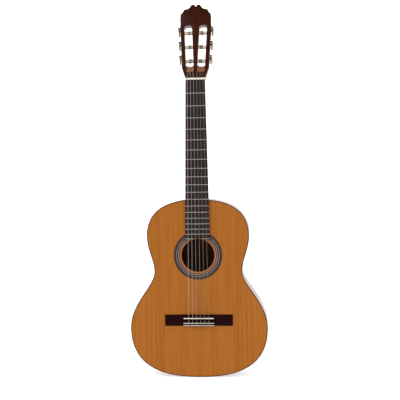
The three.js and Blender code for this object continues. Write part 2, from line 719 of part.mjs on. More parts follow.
// A route of straight runs, with its corners where the string bends.
class Route extends THREE.Curve {
  constructor(points) {
    super();
    this.points = points;
  }

  getPoint(t, target = new THREE.Vector3()) {
    const runs = this.points.length - 1;
    const run = Math.min(Math.floor(t * runs + 1e-9), runs - 1);
    return target.lerpVectors(this.points[run], this.points[run + 1], t * runs - run);
  }

  getPointAt(t, target) {
    return this.getPoint(t, target);
  }

  getTangentAt(t, target = new THREE.Vector3()) {
    const runs = this.points.length - 1;
    const corner = Math.round(t * runs);
    const unit = (run) => this.points[run + 1].clone().sub(this.points[run]).normalize();
    target.copy(unit(Math.max(corner - 1, 0))).add(unit(Math.min(corner, runs - 1)));
    return target.normalize();
  }
}

function headPoint(x, s, n) {
  return new THREE.Vector3(
    x,
    HEAD_AT.s + s * Math.cos(HEAD_TILT) + n * Math.sin(HEAD_TILT),
    HEAD_AT.n - s * Math.sin(HEAD_TILT) + n * Math.cos(HEAD_TILT),
  );
}

// From the back of the tie block, through its hole, over saddle and nut, to the string's roller.
function stringLine(index) {
  const string = STRINGS[index];
  const r = string.radius;
  const side = string.bass ? -1 : 1;
  const level = ROLLERS_AT[string.roller];
  const rollerX = side * (HEAD_SIDE_HALF + (SLOT_MIDDLE + 1.5) + Math.sin(HEAD_FLARE) * level);
  const bridgeX = saddleX(index);
  const points = [
    new THREE.Vector3(bridgeX, BRIDGE_FROM + 0.3, TIE_HOLE_HIGH),
    new THREE.Vector3(bridgeX, BRIDGE_FROM + 10.6, TIE_HOLE_HIGH),
    new THREE.Vector3(bridgeX, SADDLE_AT - 0.8, SADDLE_HIGH + r + 0.15),
    new THREE.Vector3(bridgeX, SADDLE_AT + 0.8, SADDLE_HIGH + r + 0.15),
    new THREE.Vector3(nutX(index), NUT_AT, STRING_OVER_NUT + r),
    new THREE.Vector3(nutX(index), NUT_AT + NUT_LONG + 0.4, STRING_OVER_NUT + r),
    headPoint(rollerX, level, ROLLER_DEEP + ROLLER_RADIUS + r + 0.3),
  ];
  const section = new THREE.Shape(circle(r, 0, 0, 6));
  return new THREE.ExtrudeGeometry(section, {
    steps: points.length - 1,
    bevelEnabled: false,
    extrudePath: new Route(points),
  });
}

// ---------- assembly ----------
function addBody(group) {
  const bassSide = mirrorPiece(sideStrip());
  addPiece(group, 'soundboard', soundboard(), 'cedar');
  addPiece(group, 'rosette', rosette(), 'inlay');
  addPiece(group, 'back_plate', backPlate(), 'mahogany');
  addPiece(group, 'side_bass', bassSide, 'mahogany');
  addPiece(group, 'side_treble', sideStrip(), 'mahogany');
  addPiece(group, 'top_binding', topBinding(), 'binding');
  addPiece(group, 'back_binding', backBinding(), 'binding');
  addPiece(group, 'top_lining', topLining(), 'spruce');
  addPiece(group, 'back_lining', backLining(), 'spruce');
  addPiece(group, 'end_graft', endGraft(), 'rosewood');
  addPiece(group, 'tail_block', tailBlock(), 'mahogany');
  addPiece(group, 'soundboard_bracing', soundboardBracing(), 'spruce');
  addPiece(group, 'back_bracing', backBracing(), 'spruce');
  addPiece(group, 'bridge', bridge(), 'rosewood');
  addPiece(group, 'saddle', saddle(), 'bone');
}

function addNeck(group) {
  addPiece(group, 'neck', neck(), 'mahogany');
  addPiece(group, 'fingerboard', fingerboard(), 'ebony');
  addPiece(group, 'nut', nut(), 'bone');
  for (let number = 1; number < FRET_COUNT; number += 1) {
    const half = boardHalf(fretAt(number)) - 0.3;
    addPiece(group, `fret_${String(number).padStart(2, '0')}`, fret(number, -half, half), 'nickel');
  }
  const lastHalf = boardHalf(fretAt(FRET_COUNT)) - 0.3;
  addPiece(group, `fret_${FRET_COUNT}_bass`, fret(FRET_COUNT, -lastHalf, -FRET_19_GAP), 'nickel');
  addPiece(group, `fret_${FRET_COUNT}_treble`, fret(FRET_COUNT, FRET_19_GAP, lastHalf), 'nickel');
}

function addHead(group) {
  const head = new THREE.Group();
  head.position.set(0, HEAD_AT.s, HEAD_AT.n);
  head.rotation.x = -HEAD_TILT;
  group.add(head);
  addPiece(head, 'headstock', headstock(), 'mahogany');
  addPiece(head, 'head_veneer', headVeneer(), 'rosewood');
  addPiece(head, 'machine_plate_bass', ontoHeadSide(machinePlate(-1), -1), 'nickel');
  addPiece(head, 'machine_plate_treble', ontoHeadSide(machinePlate(1), 1), 'nickel');
  for (const string of STRINGS) {
    const side = string.bass ? -1 : 1;
    const s = ROLLERS_AT[string.roller];
    addPiece(head, `roller_${string.name}`, ontoHeadSide(stringRoller(side, s), side), 'bone');
    addPiece(head, `knob_${string.name}`, ontoHeadSide(tuningKnob(side, s), side), 'pearl');
  }
}

function addStrings(group) {
  STRINGS.forEach((string, index) => {
    addPiece(group, `string_${string.name}`, stringLine(index), string.bass ? 'wound' : 'nylon');
  });
}

const bench = new THREE.Group();
bench.rotation.x = Math.PI / 2;
bench.position.y = -REST_DEPTH;
addBody(bench);
addNeck(bench);
addHead(bench);
addStrings(bench);

const guitar = new THREE.Group();
guitar.add(bench);

export default guitar;
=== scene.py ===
"""A six-string classical guitar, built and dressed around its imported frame.

Sizes are millimetres in bench axes, as if the guitar lay on its back: x across, s up the neck from
the tail, n towards the player, with n = 0 on the front of the soundboard. The head has bench axes of
its own, tilted back. Everything becomes frame metres in one place, Bench.world.
"""

import json  # noqa: E402
import logging  # noqa: E402
import math  # noqa: E402
from collections.abc import Callable, Sequence  # noqa: E402
from dataclasses import dataclass, field, replace  # noqa: E402
from enum import Enum  # noqa: E402

import bmesh  # noqa: E402
import bpy  # noqa: E402
import numpy as np  # noqa: E402
from mathutils import Matrix, Vector  # noqa: E402
from mathutils.geometry import tessellate_polygon  # noqa: E402


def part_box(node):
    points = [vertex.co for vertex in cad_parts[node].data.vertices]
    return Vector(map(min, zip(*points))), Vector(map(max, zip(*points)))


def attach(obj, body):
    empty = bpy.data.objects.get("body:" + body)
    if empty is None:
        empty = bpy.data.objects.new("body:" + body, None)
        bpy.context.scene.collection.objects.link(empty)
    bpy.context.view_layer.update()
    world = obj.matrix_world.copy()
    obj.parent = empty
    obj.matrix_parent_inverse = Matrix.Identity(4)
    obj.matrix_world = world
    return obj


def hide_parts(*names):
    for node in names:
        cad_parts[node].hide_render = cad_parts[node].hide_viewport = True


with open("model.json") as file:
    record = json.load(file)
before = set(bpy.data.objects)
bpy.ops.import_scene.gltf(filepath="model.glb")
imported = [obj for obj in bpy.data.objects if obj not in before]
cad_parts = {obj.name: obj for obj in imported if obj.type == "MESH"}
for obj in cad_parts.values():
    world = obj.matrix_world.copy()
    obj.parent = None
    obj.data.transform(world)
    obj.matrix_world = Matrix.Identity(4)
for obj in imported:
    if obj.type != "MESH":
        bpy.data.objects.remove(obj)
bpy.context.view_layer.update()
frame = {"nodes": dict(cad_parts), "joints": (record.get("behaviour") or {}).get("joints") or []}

Array = np.ndarray
Colour = tuple[float, float, float]
Height = Callable[[Array, Array], Array]
MM = 0.001
TURN = 2 * math.pi
log = logging.getLogger("guitar")

# Places that several sub-assemblies share, in bench or head millimetres.
HOLE = (0.0, 336.0)
BODY_LONG = 490.0
NUT_AT = 815.0
NUT_LONG = 5.0
SADDLE_AT = 163.8
SADDLE_HIGH = 12.2
ROLLER_DEEP = -10.5
ROLLER_RADIUS = 5.0
STRING_LANDING = -19.4
# The small domes that close a tube: how far out they stand, and how wide, for a radius of one.
DOME_OUT = 0.6
DOME_WIDE = 0.55


# ---------- axes ----------
@dataclass(frozen=True)
class Bench:
    """The bench axes (x, s, n) and the way from them to the frame."""

    rest_depth: float = -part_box("soundboard")[0].y / MM

    def world(self, points: Array) -> Array:
        """Bench millimetres (x, s, n) as frame metres (x, -rest_depth - n, s)."""
        x, s, n = np.moveaxis(np.asarray(points, float), -1, 0)
        return np.stack([x, -self.rest_depth - n, s], -1) * MM


@dataclass(frozen=True)
class HeadAxes:
    """The head's own axes: s up its face from the nut, n out of its face, tilted back."""

    tilt: float
    at_s: float = 820.2
    at_n: float = 2.0
    side_half: float = 34.8
    flare: float = math.atan(0.047)

    def bench(self, points: Array) -> Array:
        """Head points turned by the tilt about x, then moved to the end of the neck."""
        x, s, n = np.moveaxis(np.asarray(points, float), -1, 0)
        sin, cos = math.sin(self.tilt), math.cos(self.tilt)
        return np.stack([x, self.at_s + s * cos + n * sin, self.at_n - s * sin + n * cos], -1)

    def beside(self, points: Array, side: int) -> Array:
        """Points drawn beside the head's side line, out from it first, put on the -x or +x side.

        Args:
            points: (out, s, n), with out measured away from the middle of the head.
            side: -1 for the bass side, 1 for the treble side.

        Returns:
            The same points in bench axes.
        """
        out, s, n = np.moveaxis(np.asarray(points, float), -1, 0)
        sin, cos = math.sin(-side * self.flare), math.cos(self.flare)
        x = side * out * cos - s * sin + side * self.side_half
        return self.bench(np.stack([x, side * out * sin + s * cos, n], -1))


BENCH = Bench()


# ---------- curves ----------
def smooth_through(points: Sequence[Sequence[float]], per_span: int = 6) -> Array:
    """A centripetal Catmull-Rom curve: each span blends the parabolas through its four nearest points.

    Args:
        points: the points that the curve passes through.
        per_span: samples in each span.

    Returns:
        The sampled curve, ends included.
    """
    given = np.asarray(points, float)
    padded = np.vstack([2 * given[0] - given[1], given, 2 * given[-1] - given[-2]])
    knots = np.concatenate([[0], np.cumsum(np.sqrt(np.linalg.norm(np.diff(padded, axis=0), axis=1)))])
    span = np.repeat(np.arange(len(given) - 1), per_span)
    part = np.tile(np.arange(per_span) / per_span, len(given) - 1)
    p = [padded[span + k] for k in range(4)]
    k = [knots[span + i][:, None] for i in range(4)]
    t = k[1] + (k[2] - k[1]) * part[:, None]

    def between(a: Array, b: Array, ta: Array, tb: Array) -> Array:
        """The straight blend of a and b by where t lies between ta and tb."""
        return ((tb - t) * a + (t - ta) * b) / (tb - ta)

    a1, a2, a3 = (between(p[i], p[i + 1], k[i], k[i + 1]) for i in range(3))
    b1, b2 = between(a1, a2, k[0], k[2]), between(a2, a3, k[1], k[3])
    return np.vstack([between(b1, b2, k[1], k[2]), given[-1]])


def evenly(points: Array, count: int) -> Array:
    """The same line with count points spaced evenly along its length."""
    length = np.concatenate([[0], np.cumsum(np.linalg.norm(np.diff(points, axis=0), axis=1))])
    where = np.linspace(0, length[-1], count)
    return np.stack([np.interp(where, length, column) for column in points.T], -1)


def inward(loop: Array, distance: float) -> Array:
    """A closed anticlockwise loop moved to its left by distance, square to its own direction."""
    run = np.roll(loop, -1, axis=0) - np.roll(loop, 1, axis=0)
    run = run / np.linalg.norm(run, axis=1, keepdims=True)
    return loop + distance * np.stack([-run[:, 1], run[:, 0]], -1)


def box_loop(x0: float, x1: float, s0: float, s1: float, corner: float) -> Array:
    """An anticlockwise rectangle with quarter-circle corners."""
    quarter = np.linspace(0, math.pi / 2, 5)
    centres = [(x1 - corner, s0 + corner), (x1 - corner, s1 - corner), (x0 + corner, s1 - corner),
               (x0 + corner, s0 + corner)]
    arcs = [np.stack([cx + corner * np.cos(quarter + turn), cs + corner * np.sin(quarter + turn)], -1)
            for (cx, cs), turn in zip(centres, (-math.pi / 2, 0, math.pi / 2, math.pi))]
    return np.vstack(arcs)


def rounded(near: float, far: float, edge: float, steps: int = 3) -> list[tuple[float, float]]:
    """Levels of a slab whose two rims are quarter circles of radius edge.

    Args:
        near: n of the first face.
        far: n of the last face.
        edge: radius of the rims.
        steps: straight pieces in each quarter circle.

    Returns:
        (inset, n) pairs from the first face to the last.
    """
    way = math.copysign(1, far - near)
    angles = [math.pi / 2 * i / steps for i in range(steps + 1)]
    first = [(edge * (1 - math.sin(a)), near + way * edge * (1 - math.cos(a))) for a in angles]
    return first + [(inset, far - (n - near)) for inset, n in reversed(first)]


# ---------- meshes ----------
class Shell:
    """Gathers the grids and caps of one piece and closes them into one mesh."""

    def __init__(self) -> None:
        """Starts with nothing in it."""
        self.points: list[Array] = []
        self.along: list[Array] = []
        self.faces: list[list[int]] = []
        self.smooth: list[bool] = []
        self.count = 0

    def _add(self, points: Array, along: Array | None) -> int:
        """Adds bench points, with their distance along the piece, and returns the first one's number."""
        flat = np.asarray(points, float).reshape(-1, 3)
        start = self.count
        self.points.append(flat)
        self.along.append(np.zeros(len(flat)) if along is None else np.asarray(along, float).ravel())
        self.count += len(flat)
        return start

    def grid(self, points: Array, around: bool = False, along: Array | None = None) -> "Shell":
        """Adds a surface given as rows of points, with a four-sided face between neighbours.

        Args:
            points: rows x columns x 3, in bench axes.
            around: whether the last column joins the first.
            along: rows x columns of distances that a pattern may follow.

        Returns:
            This shell.
        """
        rows, columns = points.shape[:2]
        start = self._add(points, along)
        number = start + np.arange(rows * columns).reshape(rows, columns)
        if around:
            number = np.hstack([number, number[:, :1]])
        quads = np.stack([number[:-1, :-1], number[1:, :-1], number[1:, 1:], number[:-1, 1:]], -1)
        self.faces += quads.reshape(-1, 4).tolist()
        self.smooth += [True] * ((rows - 1) * (number.shape[1] - 1))
        return self

    def cap(self, loop: Array) -> "Shell":
        """Closes a loop with triangles to its middle."""
        start = self._add(np.vstack([loop, loop.mean(axis=0)]), None)
        number = np.arange(len(loop))
        triangles = np.stack([number, np.roll(number, -1), np.full(len(loop), len(loop))], -1) + start
        self.faces += triangles.tolist()
        self.smooth += [False] * len(loop)
        return self

    def flat(self, loops: Sequence[Array]) -> "Shell":
        """Adds a flat face with holes: the first loop is its rim and the others are cut out of it."""
        start = self._add(np.vstack(loops), None)
        triangles = tessellate_polygon([[Vector(point) for point in loop] for loop in loops])
        self.faces += [[start + corner for corner in triangle] for triangle in triangles]
        self.smooth += [False] * len(triangles)
        return self

    def mesh(self, name: str) -> bpy.types.Mesh:
        """Welds the parts at their shared edges, turns every face outwards and returns the mesh."""
        made = bpy.data.meshes.new(name)
        made.from_pydata(BENCH.world(np.vstack(self.points)).tolist(), [], self.faces)
        attribute = made.attributes.new("along", "FLOAT", "POINT")
        attribute.data.foreach_set("value", (np.concatenate(self.along) * MM).astype(np.float32))
        made.polygons.foreach_set("use_smooth", self.smooth)
        work = bmesh.new()
        work.from_mesh(made)
        bmesh.ops.remove_doubles(work, verts=work.verts, dist=2e-6)
        bmesh.ops.dissolve_degenerate(work, edges=work.edges, dist=1e-7)
        bmesh.ops.recalc_face_normals(work, faces=work.faces)
        work.to_mesh(made)
        work.free()
        return made


def slab(loop: Array, levels: Sequence[tuple[float, float]], place: Callable[[Array], Array]) -> Shell:
    """A plate of one outline: the loop is moved inwards by each level's inset, at that level's n.

    Args:
        loop: the outline as (x, s) points, anticlockwise.
        levels: (inset, n) pairs from one face to the other.
        place: turns (x, s, n) points into bench axes.

    Returns:
        The closed plate.
    """
    rows = [np.column_stack([inward(loop, inset), np.full(len(loop), n)]) for inset, n in levels]
    placed = [place(row) for row in rows]
    return Shell().grid(np.stack(placed), around=True).flat([placed[0]]).flat([placed[-1]])


def loft(rows: Array, along: Array | None = None) -> Shell:
    """A closed section carried through rows of points, with a cap on each end."""
    return Shell().grid(rows, around=True, along=along).cap(rows[0]).cap(rows[-1])


def carried_across(loop: Array, half: float, full: float, by: float) -> Array:
    """A closed (s, n) loop carried in x from -half to half.

    Args:
        loop: the profile.
        half: half the width.
        full: half the width over which the profile is whole.
        by: how far it is moved to its own left at both ends.

    Returns:
        Four rows of bench points.
    """
    stations = ((-half, by), (-full, 0.0), (full, 0.0), (half, by))
    return np.stack([np.column_stack([np.full(len(loop), x), inward(loop, inset)])
                     for x, inset in stations])


def sheet_solid(front: Array, back: Array) -> Shell:
    """The solid between two grids of the same shape: both faces and the four walls between them."""
    shell = Shell().grid(front).grid(back)
    for edge in (np.s_[0], np.s_[-1], np.s_[:, 0], np.s_[:, -1]):
        shell.grid(np.stack([front[edge], back[edge]]))
    return shell


def tube(path: Array, radius: float, sides: int = 10) -> Shell:
    """A round section carried along a path.

    Each section stands square to the path, and is turned from the one before by the least turn, so
    that the tube never twists. Both ends close on a small dome.

    Args:
        path: the middle line, in bench axes.
        radius: the tube's radius.
        sides: points round the section.

    Returns:
        The closed tube, with the distance along its path.
    """
    run = np.gradient(path, axis=0)
    run = run / np.linalg.norm(run, axis=1, keepdims=True)
    side = np.cross(run[0], (0.3, 0.1, 1.0))
    frames = []
    for direction in run:
        side = side - direction * (side @ direction)
        side = side / np.linalg.norm(side)
        frames.append(side)
    across = np.array(frames)
    up = np.cross(run, across)
    angle = TURN * np.arange(sides) / sides
    cosine, sine = np.cos(angle)[None, :, None], np.sin(angle)[None, :, None]
    section = radius * (cosine * across[:, None] + sine * up[:, None])
    rows = path[:, None] + section
    first = path[0] - run[0] * radius * DOME_OUT + section[0] * DOME_WIDE
    last = path[-1] + run[-1] * radius * DOME_OUT + section[-1] * DOME_WIDE
    length = np.concatenate([[0], np.cumsum(np.linalg.norm(np.diff(path, axis=0), axis=1))])
    length = np.concatenate([[0], length, [length[-1]]])
    rows = np.concatenate([first[None], rows, last[None]])
    return loft(rows, np.repeat(length[:, None], sides, axis=1))


def lathe(profile: Sequence[tuple[float, float]], place: Callable[[Array], Array], sides: int = 32,
          shape: Callable[[Array, Array], Array] | None = None) -> Shell:
    """A profile of (distance, radius) turned about an axis.

    Args:
        profile: from one end of the axis to the other.
        place: turns (distance, across, up) points into bench axes.
        sides: points round the axis.
        shape: the radius worked out from (angle, distance) and the profile, when it isn't round.

    Returns:
        The closed solid.
    """
    distance, radius = (np.asarray(column, float)[:, None] for column in zip(*profile))
    angle = (TURN * np.arange(sides) / sides)[None, :]
    if shape is not None:
        radius = radius + shape(angle, distance)
    rows = np.stack(np.broadcast_arrays(distance, radius * np.cos(angle), radius * np.sin(angle)), -1)
    return loft(place(rows))


# ---------- finishes ----------
class Recipe:
    """A node material being mixed, with short calls for the nodes that the finishes share."""

    def __init__(self, name: str) -> None:
        """Starts a material from its shader and the piece's own coordinates."""
        self.material = bpy.data.materials.new(name)
        self.material.use_nodes = True
        self.tree = self.material.node_tree
        self.shader = self.tree.nodes["Principled BSDF"]
        self.place = self.add("ShaderNodeTexCoord").outputs["Object"]

    def add(self, kind: str, **settings: object) -> bpy.types.Node:
        """A new node with these settings."""
        node = self.tree.nodes.new(kind)
        for name, value in settings.items():
            setattr(node, name, value)
        return node

    def feed(self, socket: bpy.types.NodeSocket, value: object) -> None:
        """Links a socket to another one, or gives it a plain value."""
        if isinstance(value, bpy.types.NodeSocket):
            self.tree.links.new(value, socket)
        else:
            socket.default_value = value

    def set(self, **values: object) -> None:
        """Sets or links shader sockets, with _ for the spaces in their names."""
        for name, value in values.items():
            self.feed(self.shader.inputs[name.replace("_", " ")], value)

    def math(self, operation: str, *values: object) -> bpy.types.NodeSocket:
        """One Math node."""
        node = self.add("ShaderNodeMath", operation=operation)
        for socket, value in zip(node.inputs, values):
            self.feed(socket, value)
        return node.outputs[0]

    def stretch(self, scale: Colour, source: object = None) -> bpy.types.NodeSocket:
        """Coordinates multiplied by a scale of their own in x, y and z."""
        node = self.add("ShaderNodeVectorMath", operation="MULTIPLY")
        self.feed(node.inputs[0], source or self.place)
        node.inputs[1].default_value = scale
        return node.outputs[0]

    def folded(self) -> bpy.types.NodeSocket:
        """Coordinates mirrored about the middle line, as two bookmatched halves are."""
        node = self.add("ShaderNodeVectorMath", operation="ABSOLUTE")
        parts = self.add("ShaderNodeSeparateXYZ")
        self.feed(parts.inputs[0], self.place)
        self.feed(node.inputs[0], self.place)
        mirrored = self.add("ShaderNodeSeparateXYZ")
        self.feed(mirrored.inputs[0], node.outputs[0])
        joined = self.add("ShaderNodeCombineXYZ")
        self.feed(joined.inputs[0], mirrored.outputs[0])
        self.feed(joined.inputs[1], parts.outputs[1])
        self.feed(joined.inputs[2], parts.outputs[2])
        return joined.outputs[0]

    def bent(self) -> bpy.types.NodeSocket:
        """Coordinates that follow a bent strip: its depth, nothing, and the distance along it."""
        parts = self.add("ShaderNodeSeparateXYZ")
        self.feed(parts.inputs[0], self.place)
        along = self.add("ShaderNodeAttribute", attribute_name="along").outputs["Fac"]
        joined = self.add("ShaderNodeCombineXYZ")
        self.feed(joined.inputs[0], parts.outputs[1])
        self.feed(joined.inputs[2], along)
        return joined.outputs[0]

    def noise(self, source: object, detail: float = 3, roughness: float = 0.55) -> bpy.types.NodeSocket:
        """Noise with features one unit wide in the coordinates given."""
        node = self.add("ShaderNodeTexNoise")
        self.feed(node.inputs["Vector"], source)
        node.inputs["Scale"].default_value = 1
        node.inputs["Detail"].default_value = detail
        node.inputs["Roughness"].default_value = roughness
        return node.outputs[0]

    def ramp(self, factor: object, stops: Sequence[tuple[float, Colour]]) -> bpy.types.NodeSocket:
        """Colours at stops along a factor."""
        node = self.add("ShaderNodeValToRGB")
        bar = node.color_ramp
        while len(bar.elements) < len(stops):
            bar.elements.new(1)
        for element, (at, colour) in zip(bar.elements, stops):
            element.position = at
            element.color = (*colour, 1)
        self.feed(node.inputs[0], factor)
        return node.outputs[0]

    def span(self, value: object, low: float, high: float) -> bpy.types.NodeSocket:
        """0 below low, 1 above high, straight in between."""
        node = self.add("ShaderNodeMapRange")
        for name, given in (("Value", value), ("From Min", low), ("From Max", high)):
            self.feed(node.inputs[name], given)
        return node.outputs[0]

    def mix(self, factor: object, a: object, b: object) -> bpy.types.NodeSocket:
        """Colour a passing into colour b."""
        node = self.add("ShaderNodeMix", data_type="RGBA")
        for socket, value in zip((node.inputs[0], node.inputs[6], node.inputs[7]), (factor, a, b)):
            self.feed(socket, (*value, 1) if isinstance(value, tuple) else value)
        return node.outputs[2]

    def bump(self, height: object, depth: float) -> None:
        """Raises the shader's normal by height times depth, in metres."""
        node = self.add("ShaderNodeBump")
        node.inputs["Strength"].default_value = 1
        node.inputs["Distance"].default_value = depth
        self.feed(node.inputs["Height"], height)
        self.feed(self.shader.inputs["Normal"], node.outputs[0])


class Grain(Enum):
    """The direction in which a wood's grain runs: the scale of its pattern in x, y and z."""

    UP_THE_NECK = (1.0, 1.0, 0.012)
    ACROSS = (0.03, 1.0, 1.0)


@dataclass(frozen=True)
class Wood:
    """A wood finish: fine grain lines over broad streaks, with short pores and a lacquer coat."""

    name: str
    light: Colour
    dark: Colour
    grain: Grain = Grain.UP_THE_NECK
    fine: float = 700.0
    broad: float = 90.0
    fine_share: float = 0.35
    bookmatched: bool = False
    bent: bool = False
    pores: float = 0.0
    roughness: float = 0.35
    coat: float = 0.3
    coat_roughness: float = 0.12
    specular: float = 0.35
    depth: float = 0.00002

    def mixed(self) -> bpy.types.Material:
        """Mixes the material.

        Returns:
            Colour from dark to light by a weighted sum of two stretched noises, darkened in the
            pores, with roughness and bump from the same grain.
        """
        recipe = Recipe(self.name)
        source = recipe.folded() if self.bookmatched else recipe.bent() if self.bent else recipe.place
        scale = np.array(self.grain.value)
        fine = recipe.noise(recipe.stretch(tuple(scale * self.fine), source), 2)
        broad = recipe.noise(recipe.stretch(tuple(scale * self.broad), source), 3, 0.6)
        figure = recipe.math("MULTIPLY_ADD", fine, self.fine_share,
                             recipe.math("MULTIPLY", broad, 1 - self.fine_share))
        colour = recipe.mix(recipe.span(figure, 0.34, 0.66), self.dark, self.light)
        if self.pores:
            pore = recipe.noise(recipe.stretch(tuple(scale * (2600.0, 2600.0, 9000.0)), source), 1)
            pitted = recipe.math("MULTIPLY", recipe.span(pore, 0.62, 0.72), self.pores)
            colour = recipe.mix(pitted, colour, tuple(0.35 * c for c in self.dark))
        recipe.set(Base_Color=colour, Specular_IOR_Level=self.specular,
                   Roughness=recipe.math("MULTIPLY_ADD", fine, 0.12, self.roughness - 0.06))
        recipe.set(Coat_Weight=self.coat, Coat_Roughness=self.coat_roughness)
        recipe.bump(fine, self.depth)
        return recipe.material


@dataclass(frozen=True)
class Tiles:
    """A ring of small glued tiles round the soundhole, coloured by angle and by radius."""

    name: str
    first: Colour
    second: Colour
    around: int
    middle: tuple[float, float] = HOLE
    rows: float = 0.0
    inner: float = 0.0
    roughness: float = 0.35

    def mixed(self) -> bpy.types.Material:
        """Mixes the material.

        Returns:
            Two colours that alternate with the angle about the hole and with the radius, each tile
            a little lighter or darker than the next by noise.
        """
        recipe = Recipe(self.name)
        parts = recipe.add("ShaderNodeSeparateXYZ")
        recipe.feed(parts.inputs[0], recipe.place)
        x = recipe.math("SUBTRACT", parts.outputs[0], self.middle[0] * MM)
        z = recipe.math("SUBTRACT", parts.outputs[2], self.middle[1] * MM)
        angle = recipe.math("MULTIPLY", recipe.math("ARCTAN2", z, x), self.around / TURN)
        chosen = recipe.math("GREATER_THAN", recipe.math("FRACT", recipe.math("ADD", angle, 1000)), 0.5)
        if self.rows:
            squares = [recipe.math("MULTIPLY", part, part) for part in (x, z)]
            radius = recipe.math("SQRT", recipe.math("ADD", *squares))
            row = recipe.math("DIVIDE", recipe.math("SUBTRACT", radius, self.inner * MM), self.rows * MM * 2)
            odd = recipe.math("GREATER_THAN", recipe.math("FRACT", row), 0.5)
            chosen = recipe.math("ABSOLUTE", recipe.math("SUBTRACT", chosen, odd))
        grain = recipe.noise(recipe.stretch((1500.0, 1500.0, 1500.0)), 2)
        colour = recipe.mix(chosen, self.first, self.second)
        middle = tuple(0.5 * (a + b) for a, b in zip(self.first, self.second))
        colour = recipe.mix(recipe.math("MULTIPLY", grain, 0.4), colour, middle)
        recipe.set(Base_Color=colour, Roughness=self.roughness, Coat_Weight=0.05, Coat_Roughness=0.12,
                   Specular_IOR_Level=0.15)
        recipe.bump(grain, 0.00001)
        return recipe.material


@dataclass(frozen=True)
class Moulded:
    """Bone, pearl plastic or bare cut wood: one colour with clouds, specks and a fine surface."""

    name: str
    colour: Colour
    shade: Colour
    cloud: float = 120.0
    roughness: float = 0.3
    coat: float = 0.2
    subsurface: float = 0.0

    def mixed(self) -> bpy.types.Material:
        """Mixes the material: noise passes the colour into its shade, and a finer noise is the bump."""
        recipe = Recipe(self.name)
        cloud = recipe.noise(recipe.stretch((self.cloud, self.cloud, self.cloud)), 4)
        speck = recipe.noise(recipe.stretch((4000.0, 4000.0, 1500.0)), 2)
        colour = recipe.mix(recipe.span(cloud, 0.35, 0.7), self.colour, self.shade)
        recipe.set(Base_Color=colour,
                   Roughness=recipe.math("MULTIPLY_ADD", speck, 0.15, self.roughness - 0.07))
        recipe.set(Coat_Weight=self.coat, Coat_Roughness=0.1, Subsurface_Weight=self.subsurface,
                   Subsurface_Radius=(0.002, 0.0012, 0.0008))
        recipe.bump(speck, 0.000008)
        return recipe.material


@dataclass(frozen=True)
class Metal:
    """Plated or drawn metal: bright where it is rubbed, dull and darker where it is not."""

    name: str
    bright: Colour
    dull: Colour
    roughness: float = 0.25
    brushed: Colour = (900.0, 900.0, 900.0)

    def mixed(self) -> bpy.types.Material:
        """Mixes the material: one noise passes bright into dull, and a stretched one is the brushing."""
        recipe = Recipe(self.name)
        tarnish = recipe.noise(recipe.stretch((160.0, 160.0, 160.0)), 4)
        brushing = recipe.noise(recipe.stretch(self.brushed), 2)
        recipe.set(Base_Color=recipe.mix(recipe.span(tarnish, 0.35, 0.7), self.bright, self.dull))
        recipe.set(Roughness=recipe.math("MULTIPLY_ADD", brushing, 0.2, self.roughness - 0.1), Metallic=1.0)
        recipe.bump(brushing, 0.000006)
        return recipe.material


@dataclass(frozen=True)
class StringSkin:
    """A string's surface: the turns of its winding, or smooth nylon, followed along its length."""

    name: str
    crest: Colour
    groove: Colour
    pitch: float
    metallic: float
    roughness: float = 0.3

    def mixed(self) -> bpy.types.Material:
        """Mixes the material: a wave along the string's own length is both its colour and its bump; the
        colour darkens in the wave's troughs, which on the wound strings is painted shade between the turns.
        """
        recipe = Recipe(self.name)
        along = recipe.add("ShaderNodeAttribute", attribute_name="along").outputs["Fac"]
        wave = recipe.math("SINE", recipe.math("MULTIPLY", along, TURN / (self.pitch * MM)))
        height = recipe.math("MULTIPLY_ADD", wave, 0.5, 0.5)
        wear = recipe.noise(recipe.stretch((60.0, 60.0, 60.0)), 3)
        # Troughs take the darker groove colour: painted shade between the turns of the winding.
        colour = recipe.mix(height, self.groove, self.crest)
        recipe.set(Base_Color=recipe.mix(recipe.math("MULTIPLY", wear, 0.3), colour, self.groove))
        recipe.set(Roughness=self.roughness, Metallic=self.metallic)
        recipe.bump(height, 0.00002 if self.metallic else 0.000002)
        return recipe.material


